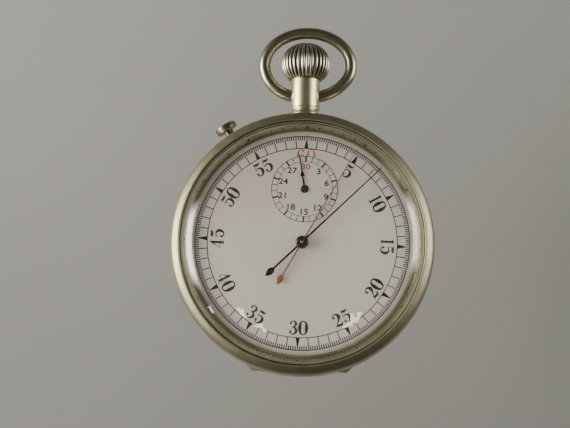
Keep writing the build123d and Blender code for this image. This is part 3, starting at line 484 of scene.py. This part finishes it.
def ring_print(radius, width, centre=(0.0, 0.0), segments=240, base=0.0):
    """A thin printed circle, on the dial or on a base above it."""
    inner, outer = radius - width / 2, radius + width / 2
    low, high = print_low + base, print_high + base
    return moved(lathe([(inner, low), (outer, low), (outer, high), (inner, high)], segments), centre)


def tick_print(angle, inner, outer, inner_width, outer_width, centre=(0.0, 0.0), base=0.0):
    """A printed radial line or wedge."""
    low = Vector(clock(inner, angle, centre))
    high = Vector(clock(outer, angle, centre))
    across = Vector(clock(1.0, angle + 90))
    outline = [
        tuple(low - across * inner_width / 2),
        tuple(low + across * inner_width / 2),
        tuple(high + across * outer_width / 2),
        tuple(high - across * outer_width / 2),
    ]
    return prism(outline, print_low + base, print_high + base)


def smooth_path(points, steps=7, closed=False):
    """A Catmull-Rom curve through (x, y, half width) points."""
    count = len(points)
    result = []
    last = count if closed else count - 1
    for number in range(last):
        if closed:
            p0, p1, p2, p3 = (Vector(points[(number + k) % count]) for k in (-1, 0, 1, 2))
        else:
            p1, p2 = Vector(points[number]), Vector(points[number + 1])
            p0 = Vector(points[number - 1]) if number else p1 * 2 - p2
            p3 = Vector(points[number + 2]) if number + 2 < count else p2 * 2 - p1
        for step in range(steps):
            t = step / steps
            result.append(
                0.5
                * (
                    2 * p1
                    + (p2 - p0) * t
                    + (2 * p0 - 5 * p1 + 4 * p2 - p3) * t**2
                    + (3 * p1 - p0 - 3 * p2 + p3) * t**3
                )
            )
    if not closed:
        result.append(Vector(points[-1]))
    return result


def stroke(points, closed=False):
    """The left and right edges of a pen stroke whose width changes along it."""
    path = smooth_path(points, closed=closed)
    left, right = [], []
    count = len(path)
    for number, point in enumerate(path):
        if closed:
            along = path[(number + 1) % count] - path[number - 1]
        else:
            along = path[min(number + 1, count - 1)] - path[max(number - 1, 0)]
        across = Vector((-along.y, along.x)).normalized()
        left.append((point.x + across.x * point.z, point.y + across.y * point.z))
        right.append((point.x - across.x * point.z, point.y - across.y * point.z))
    return left, right


def dot(x, y, radius):
    """A round ball terminal as an outline."""
    return arc((x, y), radius, 0, 345, 23)


# Figures in a high-contrast roman style: thick stems, hairlines and ball ends,
# on a cap height of 1. Each is a list of closed strokes, open strokes and outlines.
HAIR, STEM = 0.034, 0.108
FIGURES = {
    "0": {
        "width": 0.70,
        "loops": [[
            (0.35, 0.985, HAIR), (0.545, 0.86, 0.06), (0.60, 0.5, STEM), (0.545, 0.14, 0.06),
            (0.35, 0.015, HAIR), (0.155, 0.14, 0.06), (0.10, 0.5, STEM), (0.155, 0.86, 0.06),
        ]],
        "lines": [],
        "shapes": [],
    },
    "1": {
        "width": 0.50,
        "loops": [],
        "lines": [[(0.10, 0.84, 0.02), (0.2, 0.87, 0.03), (0.27, 0.96, 0.03)]],
        "shapes": [
            [(0.20, 0.0), (0.37, 0.0), (0.37, 1.0), (0.20, 0.93)],
            [(0.06, 0.0), (0.51, 0.0), (0.51, 0.04), (0.06, 0.04)],
        ],
    },
    "2": {
        "width": 0.66,
        "loops": [],
        "lines": [
            [(0.10, 0.74, 0.03), (0.14, 0.89, 0.03), (0.31, 0.975, HAIR), (0.49, 0.89, 0.065),
             (0.535, 0.71, STEM), (0.44, 0.50, 0.055), (0.24, 0.29, 0.03), (0.09, 0.07, 0.02)],
            [(0.08, 0.06, 0.03), (0.20, 0.13, 0.06), (0.38, 0.09, 0.075), (0.54, 0.10, 0.05),
             (0.61, 0.29, 0.016)],
        ],
        "shapes": [dot(0.16, 0.755, 0.088)],
    },
    "3": {
        "width": 0.66,
        "loops": [],
        "lines": [
            [(0.11, 0.82, 0.03), (0.19, 0.94, 0.03), (0.33, 0.98, HAIR), (0.49, 0.90, 0.06),
             (0.53, 0.76, 0.08), (0.44, 0.60, 0.045), (0.26, 0.535, 0.018)],
            [(0.26, 0.535, 0.018), (0.47, 0.48, 0.055), (0.565, 0.28, 0.088), (0.48, 0.09, 0.06),
             (0.30, 0.02, HAIR), (0.15, 0.08, 0.03), (0.09, 0.2, 0.03)],
        ],
        "shapes": [dot(0.16, 0.80, 0.082), dot(0.145, 0.205, 0.085)],
    },
    "4": {
        "width": 0.70,
        "loops": [],
        "lines": [],
        "shapes": [
            [(0.36, 0.0), (0.535, 0.0), (0.535, 1.0), (0.46, 1.0), (0.36, 0.84)],
            [(0.03, 0.27), (0.07, 0.27), (0.50, 0.95), (0.48, 1.0), (0.43, 0.985)],
            [(0.03, 0.24), (0.67, 0.24), (0.67, 0.285), (0.03, 0.285)],
            [(0.24, 0.0), (0.66, 0.0), (0.66, 0.04), (0.24, 0.04)],
        ],
    },
    "5": {
        "width": 0.66,
        "loops": [],
        "lines": [
            [(0.125, 0.50, 0.016), (0.24, 0.59, 0.03), (0.38, 0.60, 0.04), (0.53, 0.49, 0.075),
             (0.565, 0.31, 0.088), (0.48, 0.10, 0.06), (0.30, 0.02, HAIR), (0.16, 0.08, 0.03),
             (0.09, 0.2, 0.03)],
            [(0.12, 0.93, 0.05), (0.30, 0.885, 0.075), (0.45, 0.90, 0.06), (0.555, 0.985, 0.012)],
        ],
        "shapes": [dot(0.145, 0.205, 0.085), [(0.10, 0.48), (0.135, 0.48), (0.145, 0.98), (0.105, 0.98)]],
    },
    "6": {
        "width": 0.68,
        "loops": [[
            (0.36, 0.575, HAIR), (0.52, 0.49, 0.06), (0.575, 0.295, STEM), (0.52, 0.10, 0.06),
            (0.35, 0.015, HAIR), (0.19, 0.10, 0.055), (0.135, 0.30, 0.07), (0.20, 0.50, 0.04),
        ]],
        "lines": [
            [(0.115, 0.28, 0.085), (0.115, 0.48, 0.09), (0.16, 0.76, 0.08), (0.28, 0.93, 0.045),
             (0.40, 0.98, HAIR), (0.54, 0.90, 0.02)],
        ],
        "shapes": [dot(0.50, 0.845, 0.078)],
    },
}


THINNEST = HAIR * 0.8
STROKE_STEP = 0.0004  # each stroke's top lies this much above the one before, so no two coincide


def stroke_solid(points, closed, place, high):
    """A pen stroke as a closed solid up to a height; place puts a point on the dial."""
    left, right = ([place(point) for point in edge] for edge in stroke(points, closed))
    count = len(left)
    top = 2 * count
    vertices = [(*point, level) for level in (print_low, high) for point in left + right]
    faces = []
    for a in range(count if closed else count - 1):
        b = (a + 1) % count
        c, d = count + b, count + a
        faces += [(a, b, c, d), (top + a, top + d, top + c, top + b)]
        faces += [(a, top + a, top + b, b), (d, c, top + c, top + d)]
    if not closed:
        faces.append((0, count, top + count, top))
        faces.append((count - 1, top + count - 1, top + 2 * count - 1, 2 * count - 1))
    return vertices, faces


def figure_print(text, centre, upright, height, weight=1.22):
    """Printed figures, centred on a point; upright is their clockwise lean from 12 o'clock."""
    gap = 0.06
    whole = sum(FIGURES[letter]["width"] for letter in text) + gap * (len(text) - 1)
    parts = []
    start = -whole / 2
    level = 0

    def place(point):
        return turned(((point[0] + start) * height, (point[1] - 0.5) * height), centre, upright)

    for letter in text:
        figure = FIGURES[letter]
        for closed, strokes in ((True, figure["loops"]), (False, figure["lines"])):
            for points in strokes:
                level += 1
                points = [(x, y, max(half * weight, THINNEST)) for x, y, half in points]
                parts.append(stroke_solid(points, closed, place, print_high + STROKE_STEP * level))
        for outline in figure["shapes"]:
            level += 1
            high = print_high + STROKE_STEP * level
            parts.append(prism([place(point) for point in outline], print_low, high))
        start += figure["width"] + gap
    return merged(parts)


def small_text(text, centre, upright, height):
    """Plain sans figures for the register."""
    curve = bpy.data.curves.new("register_text", "FONT")
    curve.body = text
    curve.align_x = "CENTER"
    curve.size = height / CAP_SHARE
    curve.resolution_u = 6
    curve.offset = SMALL_OFFSET
    curve.extrude = INK_HEIGHT / 2
    item = bpy.data.objects.new("register_text", curve)
    bpy.context.scene.collection.objects.link(item)
    bpy.context.view_layer.update()
    mesh = bpy.data.meshes.new_from_object(item.evaluated_get(bpy.context.evaluated_depsgraph_get()))
    middle = print_low + REGISTER_BASE + INK_HEIGHT / 2
    vertices = []
    for vertex in mesh.vertices:
        flat = (vertex.co.x * SMALL_STRETCH, vertex.co.y - height / 2)
        vertices.append((*turned(flat, centre, upright), middle + vertex.co.z))
    faces = [tuple(polygon.vertices) for polygon in mesh.polygons]
    bpy.data.objects.remove(item)
    bpy.data.curves.remove(curve)
    bpy.data.meshes.remove(mesh)
    return vertices, faces


track = [ring_print(TRACK_INNER, INNER_LINE), ring_print(TRACK_OUTER, OUTER_LINE)]
for fifth in range(300):
    angle = DIAL_TURN + fifth * 1.2
    if fifth % 5 == 0:
        track.append(tick_print(angle, TRACK_INNER, TRACK_OUTER, SECOND_LINE, SECOND_LINE))
    else:
        track.append(tick_print(angle, FIFTH_INNER, TRACK_OUTER, FIFTH_LINE, FIFTH_LINE))
for five in range(12):
    angle = DIAL_TURN + five * 30
    track.append(tick_print(angle, TRACK_INNER, FIFTH_INNER + 0.1, WEDGE_FOOT, WEDGE_TIP))
add_piece("seconds_track", *merged(track), "case", "black_hands", BLACK_INK)

numerals = []
for five in range(1, 12):
    angle = DIAL_TURN + five * 30
    lean = angle + 180 if 3 < five < 9 else angle  # the lower figures stand the other way up
    numerals.append(figure_print(str(five * 5), clock(NUMERAL_RADIUS, angle), lean, NUMERAL_HEIGHT))
add_piece("seconds_numerals", *merged(numerals), "case", "black_hands", BLACK_INK)

register = [
    ring_print(SUB_RING_OUTER, SUB_OUTER_LINE, register_at, 160, REGISTER_BASE),
    ring_print(SUB_RING_INNER, SUB_INNER_LINE, register_at, 160, REGISTER_BASE),
]
for minute in range(30):
    angle = DIAL_TURN + minute * 12
    width = THIRD_LINE if minute % 3 == 0 else MINUTE_LINE
    register.append(
        tick_print(angle, SUB_RING_INNER, SUB_RING_OUTER, width, width, register_at, REGISTER_BASE)
    )
for minute in range(3, 30, 3):
    place = clock(SMALL_RADIUS, DIAL_TURN + minute * 12, register_at)
    register.append(small_text(str(minute), place, DIAL_TURN, SMALL_HEIGHT))
add_piece("minute_register_print", *merged(register), "case", "black_hands", BLACK_INK)
ground_z = print_low + REGISTER_BASE
ground_profile = [(REGISTER_HOLE, print_low), (REGISTER_EDGE, print_low), (REGISTER_EDGE, ground_z - 0.008),
                  (REGISTER_EDGE - 0.04, ground_z), (REGISTER_HOLE, ground_z)]
ground = moved(lathe(ground_profile, 160), register_at)
add_piece("register_ground", *ground, "case", "white_enamel", ENAMEL)
thirty = small_text("30", clock(SMALL_RADIUS, DIAL_TURN, register_at), DIAL_TURN, SMALL_HEIGHT)
add_piece("minute_register_thirty", *thirty, "case", "red_hands", RED_INK)
sixty = figure_print("60", clock(SIXTY_RADIUS, DIAL_TURN), DIAL_TURN, NUMERAL_HEIGHT, SIXTY_WEIGHT)
add_piece("seconds_sixty", *sixty, "case", "red_hands", RED_INK)


# ---- Hands --------------------------------------------------------------
def hand_outline(pivot, angle, reach, tail, wide, narrow):
    """A slim tapered hand."""
    across = Vector(clock(1.0, angle + 90))
    tip, end = Vector(clock(reach, angle, pivot)), Vector(clock(-tail, angle, pivot))
    middle = Vector(pivot)
    return [
        tuple(end - across * wide / 2), tuple(end + across * wide / 2),
        tuple(middle + across * wide / 2), tuple(tip + across * narrow / 2),
        tuple(tip - across * narrow / 2), tuple(middle - across * wide / 2),
    ]


LEAF_SKEW, LEAF_FULLNESS = 0.72, 0.9


def leaf_outline(pivot, angle, start, end, width):
    """The leaf on a hand's tail, widest near its root."""
    across = Vector(clock(1.0, angle + 90))
    right, left = [], []
    steps = 16
    for number in range(steps + 1):
        t = number / steps
        swell = width / 2 * (sin(pi * t**LEAF_SKEW) ** LEAF_FULLNESS if 0 < t < 1 else 0.0)
        place = Vector(clock(-(start + (end - start) * t), angle, pivot))
        half = max(swell, 0.01)
        right.append(tuple(place + across * half))
        left.append(tuple(place - across * half))
    return right + left[::-1]


def hub(radius, low, high, pivot=(0.0, 0.0), dish=0.0):
    """A turned hand boss with a rounded top rim."""
    rim = min(0.18, radius * 0.2)
    profile = [(0.0, low), (radius, low), (radius, high - rim)]
    profile += arc((radius - rim, high - rim), rim, 0, 90, 6)[1:]
    profile += [(radius * 0.42, high), (radius * 0.36, high - dish), (0.0, high - dish)]
    return moved(lathe(profile, 64), pivot)


# each blade: how far it reaches, its tail, its width at the centre and at the tip
SWEEP_BLADE, SWEEP_LEAF = (22.1, 8.1, 0.42, 0.21), (7.75, 10.1, 1.35)
SPLIT_BLADE, SPLIT_LEAF = (21.9, 8.0, 0.30, 0.12), (7.7, 9.95, 1.25)
MINUTE_BLADE, MINUTE_ARROW = (7.1, 0.6, 0.42, 0.12), (1.1, 0.05, 0.95, 0.15)
ARROW_RADIUS = 2.75  # where the minute hand's arrowhead starts

sweep_layer = (black_z + 0.1, black_z + 0.26, 0.05)
sweep_parts = [
    hub(1.2, black_z, black_z + 0.6, dish=0.06),
    prism(hand_outline((0, 0), SWEEP_ANGLE, *SWEEP_BLADE), *sweep_layer),
    prism(leaf_outline((0, 0), SWEEP_ANGLE, *SWEEP_LEAF), *sweep_layer),
]
add_piece("sweep_seconds_hand", *merged(sweep_parts), "sweep", "black_hands", BLACK_LACQUER, ["sweep_hand"])
pin = hub(0.36, black_z + 0.3, black_z + 0.66)
add_piece("sweep_arbor_end", *pin, "sweep", "polished_steel", STEEL)

split_layer = (red_z + 0.08, red_z + 0.22, 0.04)
split_parts = [
    hub(1.35, red_z, red_z + 0.43),
    prism(hand_outline((0, 0), SPLIT_ANGLE, *SPLIT_BLADE), *split_layer),
    prism(leaf_outline((0, 0), SPLIT_ANGLE, *SPLIT_LEAF), *split_layer),
]
add_piece("split_seconds_hand", *merged(split_parts), "split", "red_hands", RED_LACQUER, ["split_hand"])

minute_layer = (small_z + 0.02, small_z + 0.13, 0.03)
arrow_at = clock(ARROW_RADIUS, MINUTE_ANGLE, register_at)
minute_parts = [
    hub(0.82, small_z, small_z + 0.22, register_at, 0.04),
    prism(hand_outline(register_at, MINUTE_ANGLE, *MINUTE_BLADE), *minute_layer),
    prism(hand_outline(arrow_at, MINUTE_ANGLE, *MINUTE_ARROW), *minute_layer),
]
add_piece("register_hand", *merged(minute_parts), "minute", "black_hands", BLACK_LACQUER, ["minute_hand"])

# ---- Bezel and crystal --------------------------------------------------
seat_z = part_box("crystal")[0].z / MM - 0.02


def partial_lathe(profile, first, last, segments):
    """A closed outline turned about Z through part of a turn, with flat ends."""
    vertices = []
    for number in range(segments + 1):
        turn = radians(first + (last - first) * number / segments)
        vertices.extend((radius * cos(turn), radius * sin(turn), along) for radius, along in profile)
    count = len(profile)
    near_end, far_end = range(count), range(segments * count, (segments + 1) * count)
    return vertices, [*skin_faces(segments + 1, count), tuple(near_end), tuple(reversed(far_end))]


# the band's polished outside, between the hinge, the split button and the pendant
SKIN_DEPTH = 0.3
skin = [(26.62, 9.93), (26.86, 9.0), (26.99, 8.1), (27.03, 7.2), (26.97, 6.2), (26.78, 5.2), (26.5, 4.55)]
skin += [(radius - SKIN_DEPTH, height) for radius, height in skin[::-1]]
spans = [(-64.5, 83.6), (96.4, 121.0), (127.6, 244.5)]
band_parts = [partial_lathe(skin, first, last, int((last - first) / 1.5)) for first, last in spans]
add_piece("band_polish", *merged(band_parts), "case", "nickel_case", NICKEL)

STEP_R, BORE_R, SEAT_R = 25.3, 24.22, 24.6  # inside the bezel: over the band, round the dial and crystal
WALL_FOOT, WALL_TOP, WALL_THICK = 22.73, 23.70, 0.07  # the bright sloping wall inside the crystal
wall_low = dial_z + 0.04
step_z = bezel_low + 1.0
bezel_profile = [(bezel_r, bezel_low), (STEP_R, bezel_low), (STEP_R, step_z), (BORE_R, step_z),
                 (BORE_R, dial_z + 0.05), (WALL_FOOT + 0.02, dial_z + 0.05), (WALL_TOP + 0.02, seat_z),
                 (SEAT_R, seat_z), (SEAT_R, bezel_z - 0.5), (24.74, bezel_z - 0.12), (24.86, bezel_z - 0.03)]
# the flank eases from a gentle slope by the crystal to upright at the joint with the band
flank_r, flank_z = 24.95, bezel_z - 0.02
slopes = [22 + 19 * step / 9 for step in range(10)] + [47, 55, 63, 71, 79, 85]
reaches = [0.125] * 10 + [0.10, 0.085, 0.07, 0.055, 0.045, 0.04]
for slope, reach in zip(slopes, reaches):
    bezel_profile.append((flank_r, flank_z))
    flank_r, flank_z = flank_r + reach, flank_z - reach * tan(radians(slope))
bezel_shape = lathe(bezel_profile[::-1])
add_piece("bezel_ring", *bezel_shape, "case", "nickel_case", NICKEL_BEZEL, ["bezel"], 50)
# a near-black ring in the joint between the crystal and the bezel: tarnish and painted shade
seam_profile = [(24.5, seat_z), (24.72, seat_z), (24.72, bezel_z - 0.16), (24.62, bezel_z - 0.12),
                (24.5, bezel_z - 0.3)]
add_piece("crystal_seam", *lathe(seam_profile), "case", "nickel_case", TARNISH_AND_SHADE)
wall_profile = [(WALL_FOOT, wall_low), (WALL_TOP, seat_z), (WALL_TOP + WALL_THICK, seat_z),
                (WALL_FOOT + WALL_THICK, wall_low)]
add_piece("bezel_mirror_wall", *lathe(wall_profile), "case", "nickel_case", NICKEL_BRIGHT)

# the crystal's shoulder is an arc of a radius SHOULDER_BEND, which the low dome meets at DOME_TURN degrees
SHOULDER_R, SHOULDER_Z, SHOULDER_BEND, GLASS_WALL = 20.05, 9.82, 5.0, 0.6
DOME_TURN, SHOULDER_STEPS, DOME_STEPS = 88.3, 28, 14
foot_z = seat_z + 0.02
rim_lean = degrees(atan2(crystal_r - SHOULDER_R, sqrt(SHOULDER_BEND**2 - (crystal_r - SHOULDER_R) ** 2)))
inner_bend = SHOULDER_BEND - GLASS_WALL
foot_lean = degrees(acos((foot_z - SHOULDER_Z) / inner_bend))
outer = [(crystal_r, foot_z)]
outer += arc((SHOULDER_R, SHOULDER_Z), SHOULDER_BEND, 90 - rim_lean, DOME_TURN, SHOULDER_STEPS)
inner = arc((SHOULDER_R, SHOULDER_Z), inner_bend, DOME_TURN, 90 - foot_lean, SHOULDER_STEPS)
dome, under = [], []
edge, dome_rise = outer[-1], crystal_z - outer[-1][1]
for number in range(1, DOME_STEPS + 1):
    radius = edge[0] * (1 - number / DOME_STEPS)
    height = crystal_z - dome_rise * (radius / edge[0]) ** 2
    dome.append((radius, height))
    under.append((radius * inner[0][0] / edge[0], height - GLASS_WALL))
crystal_profile = outer + dome + under[::-1] + inner
add_piece("domed_crystal", *lathe(crystal_profile), "case", "crystal_glass", GLASS, ["crystal"])


# ---- Pendant, crown and bow ---------------------------------------------
pendant_profile = [
    (0.78, 24.6), (1.68, 24.6), (1.68, 26.42), (2.68, 26.42), (2.68, 27.0), (2.9, 27.0), (2.82, 27.3),
    (2.62, 27.75), (2.62, 27.84), (3.0, 27.87), (3.0, 28.32), (2.8, 28.35), (2.8, 28.42), (3.0, 28.46),
    (3.0, pendant_top - 0.3), (2.75, pendant_top), (0.78, pendant_top),
]
pendant_radii = [0, 0, 0, 0.05, 0, 0.08, 0.2, 0.1, 0.05, 0.15, 0.15, 0.03, 0.03, 0.06, 0.2, 0.12, 0]
pendant = lathe(rounded(pendant_profile, pendant_radii, 4), 144, "Y", stem_z)
add_piece("pendant_tube", *pendant, "case", "nickel_case", NICKEL_SATIN, ["pendant"], 40)


RIB_DEPTH, RIB_FULLNESS, STEPS_PER_RIB = 0.52, 0.985, 16
BALL_R, POLE_R, CROWN_BORE = 4.3, 0.8, 3.18  # the crown's outside is an arc that ends on a small flat pole


def fluted_crown():
    """A hollow ball crown with rounded ribs that fade out at the pole."""
    around, along = RIB_COUNT * STEPS_PER_RIB, 44
    arc_y = crown_top - BALL_R
    low_turn = degrees(atan2(crown_low - arc_y, sqrt(BALL_R**2 - (arc_y - crown_low) ** 2)))
    rows = [[(CROWN_BORE, crown_low + 1.7)] * around, [(CROWN_BORE, crown_low + 0.05)] * around]
    for number, (radius, height) in enumerate(arc((POLE_R, arc_y), BALL_R, low_turn, 90, along)):
        fade = min(1.0, max(0.0, radius - 0.5)) * min(1.0, number / 3)
        fade *= min(1.0, radius / crown_r + 0.15)
        turn = radians(low_turn + (90 - low_turn) * number / along)
        row = []
        for step in range(around):
            share = (step % STEPS_PER_RIB) / STEPS_PER_RIB - 0.5
            depth = RIB_DEPTH * fade * (1 - sqrt(1 - (2 * share) ** 2 * RIB_FULLNESS))
            row.append((radius - depth * cos(turn), height - depth * sin(turn)))
        rows.append(row)
    rows.append([(0.0, crown_top)] * around)
    vertices = []
    for row in rows:
        for step, (radius, height) in enumerate(row):
            turn = 2 * pi * step / around + radians(RIB_START)
            vertices.append((radius * cos(turn), height, stem_z + radius * sin(turn)))
    return vertices, [*skin_faces(len(rows), around), tuple(range(around))]


add_piece("fluted_crown", *fluted_crown(), "crown", "nickel_case", NICKEL_FLUTED, ["crown"], 60)


BOW_END = 2.3  # half the gap between the bow's ends
BOW_LEAN, BOW_LEAN_RISE = 0.42, 5.0  # it lies this much to one side, from this far above its pins


def bow_mesh():
    """The bow: an oval of round wire whose ends turn in to the pendant."""
    wire = (bow_high.z - bow_low.z) / 2
    half_width = (bow_high.x - bow_low.x) / 2 - wire
    top = bow_high.y - wire
    pivot_y = bow_low.y + wire
    bottom = pivot_y + 0.05
    middle_y, half_height = (top + bottom) / 2, (top - bottom) / 2
    first = -degrees(acos(BOW_END / half_width))
    right = []
    for number in range(13):
        turn = radians(first + (90 - first) * number / 12)
        right.append(Vector((half_width * cos(turn), middle_y + half_height * sin(turn), 0.0)))
    left = [Vector((-point.x, point.y, 0.0)) for point in right[-2::-1]]
    path = smooth_path(right + left, 10)
    for point in path:
        point.x += BOW_LEAN * min(1.0, (point.y - pivot_y) / BOW_LEAN_RISE)
    vertices = []
    sides = 40
    for number, point in enumerate(path):
        along = (path[min(number + 1, len(path) - 1)] - path[max(number - 1, 0)]).normalized()
        across = Vector((-along.y, along.x, 0.0))
        for step in range(sides):
            turn = 2 * pi * step / sides
            spot = point + across * wire * cos(turn) + Vector((0, 0, 1)) * wire * sin(turn)
            vertices.append((spot.x, spot.y, spot.z + stem_z))
    first_end, last_end = range(sides), range((len(path) - 1) * sides, len(path) * sides)
    return vertices, [*skin_faces(len(path), sides), tuple(first_end), tuple(reversed(last_end))]


add_piece("oval_bow", *bow_mesh(), "bow", "nickel_case", NICKEL_BOW, ["bow"], 50)

# ---- Floor, lights and camera -------------------------------------------
FLOOR = floor_material()
FLOOR_DROP = 0.05  # the backdrop is a little way behind the watch
FLOOR_HALF = 3.0  # half the backdrop's side
floor_mesh = bpy.data.meshes.new("floor")
corners = [(x * FLOOR_HALF, y * FLOOR_HALF, 0) for x, y in ((-1, -1), (1, -1), (1, 1), (-1, 1))]
floor_mesh.from_pydata(corners, [], [(0, 1, 2, 3)])
floor_mesh.materials.append(FLOOR)
floor = bpy.data.objects.new("floor", floor_mesh)
floor.location.z = cad_low.z - FLOOR_DROP
bpy.context.scene.collection.objects.link(floor)


def area_light(name, place, target, width, height, power, colour):
    """A soft rectangular lamp aimed at a point."""
    lamp = bpy.data.lights.new(name, "AREA")
    lamp.shape = "RECTANGLE"
    lamp.size, lamp.size_y = width, height
    lamp.energy = power
    lamp.color = colour
    item = bpy.data.objects.new(name, lamp)
    item.location = place
    item.rotation_mode = "QUATERNION"
    item.rotation_quaternion = (Vector(target) - Vector(place)).to_track_quat("-Z", "Y")
    bpy.context.scene.collection.objects.link(item)


WINDOW_LAYERS = [(1.0, 0.35), (0.89, 0.7), (0.78, 1.2), (0.67, 2.0), (0.56, 3.2)]  # share of the size, glow
LAYER_GAP = 0.025  # each layer is nearer the watch than the one outside it, by this share of the distance


def window(name, place, width, height, power, colour):
    """A window whose glow fades at its edges: nested lamps, brighter and nearer toward the middle."""
    whole = sum(share**2 * glow for share, glow in WINDOW_LAYERS)
    for number, (share, glow) in enumerate(WINDOW_LAYERS):
        nearer = Vector(place) * (1 - LAYER_GAP * number)
        area_light(f"{name}_{number}", nearer, (0, 0, 0), width * share, height * share,
                   power * share**2 * glow / whole, colour)


window("left_window", (-0.80, 0.03, 0.30), 0.68, 0.62, 13.8, (1.0, 0.97, 0.91))
window("right_window", (0.80, 0.15, 0.30), 0.64, 0.62, 5.1, (1.0, 0.98, 0.94))
area_light("left_sparkle", (-0.690, -0.458, 0.353), (0, 0, 0), 0.060, 0.100, 0.50, (1.0, 0.97, 0.92))


CEILING, BULB_GLOW, BULB_COLOUR = 1.2, 13.0, (1.0, 0.82, 0.55)


def lamp_cluster(name, middle, bulbs):
    """Warm lamps that glint in the crystal, each (right, up, width, length) from a middle, all in mm."""
    for number, (right_of, above, width, length) in enumerate(bulbs):
        x, y = (middle[0] + right_of) * MM, (middle[1] + above) * MM
        power = pi * width * length * MM**2 * BULB_GLOW
        area_light(f"{name}_{number}", (x, y, CEILING), (x, y, 0), width * MM, length * MM,
                   power, BULB_COLOUR)


lamp_cluster("lamps_over_25", (87, -28), [(-8, -11, 22, 8), (1, -3, 28, 7), (5, 6, 16, 6),
                                          (9, 15, 8, 7), (-4, 3, 6, 24), (8, -1, 5, 20)])
lamp_cluster("lamps_over_35_upper", (-114, -15), [(0, 0, 10, 13), (5, -7, 10, 6), (-5, 6, 6, 6)])
lamp_cluster("lamps_over_35_lower", (-82, -45), [(-2, 0, 20, 8), (2, 7, 10, 8), (8, -7, 8, 12)])

world = bpy.data.worlds.new("studio")
world.use_nodes = True
background = world.node_tree.nodes["Background"]
background.inputs["Color"].default_value = (0.62, 0.60, 0.55, 1)
background.inputs["Strength"].default_value = 0.10
bpy.context.scene.world = world

LENS, SENSOR, DISTANCE = 85.0, 36.0, 0.2722
VIEW_LEAN, VIEW_ROLL = (0.02, -0.1175, 1.0), 1.26  # from the watch to the camera, and degrees of tilt
SHIFT_LEFT, SHIFT_UP = 0.00346, 0.00576  # the camera isn't quite over the dial's middle
camera_data = bpy.data.cameras.new("camera")
camera_data.lens, camera_data.sensor_width = LENS, SENSOR
camera_data.clip_start, camera_data.clip_end = 0.01, 20.0
camera = bpy.data.objects.new("camera", camera_data)
back = Vector(VIEW_LEAN).normalized()
roll = Matrix.Rotation(radians(VIEW_ROLL), 3, back)
up = roll @ (Vector((0, 1, 0)) - back * back.y).normalized()
right = up.cross(back)
aim = Vector((0, 0, dial_z * MM))
camera.location = aim + back * DISTANCE - right * SHIFT_LEFT + up * SHIFT_UP
camera.rotation_mode = "QUATERNION"
camera.rotation_quaternion = Matrix((right, up, back)).transposed().to_quaternion()
bpy.context.scene.collection.objects.link(camera)
bpy.context.scene.camera = camera
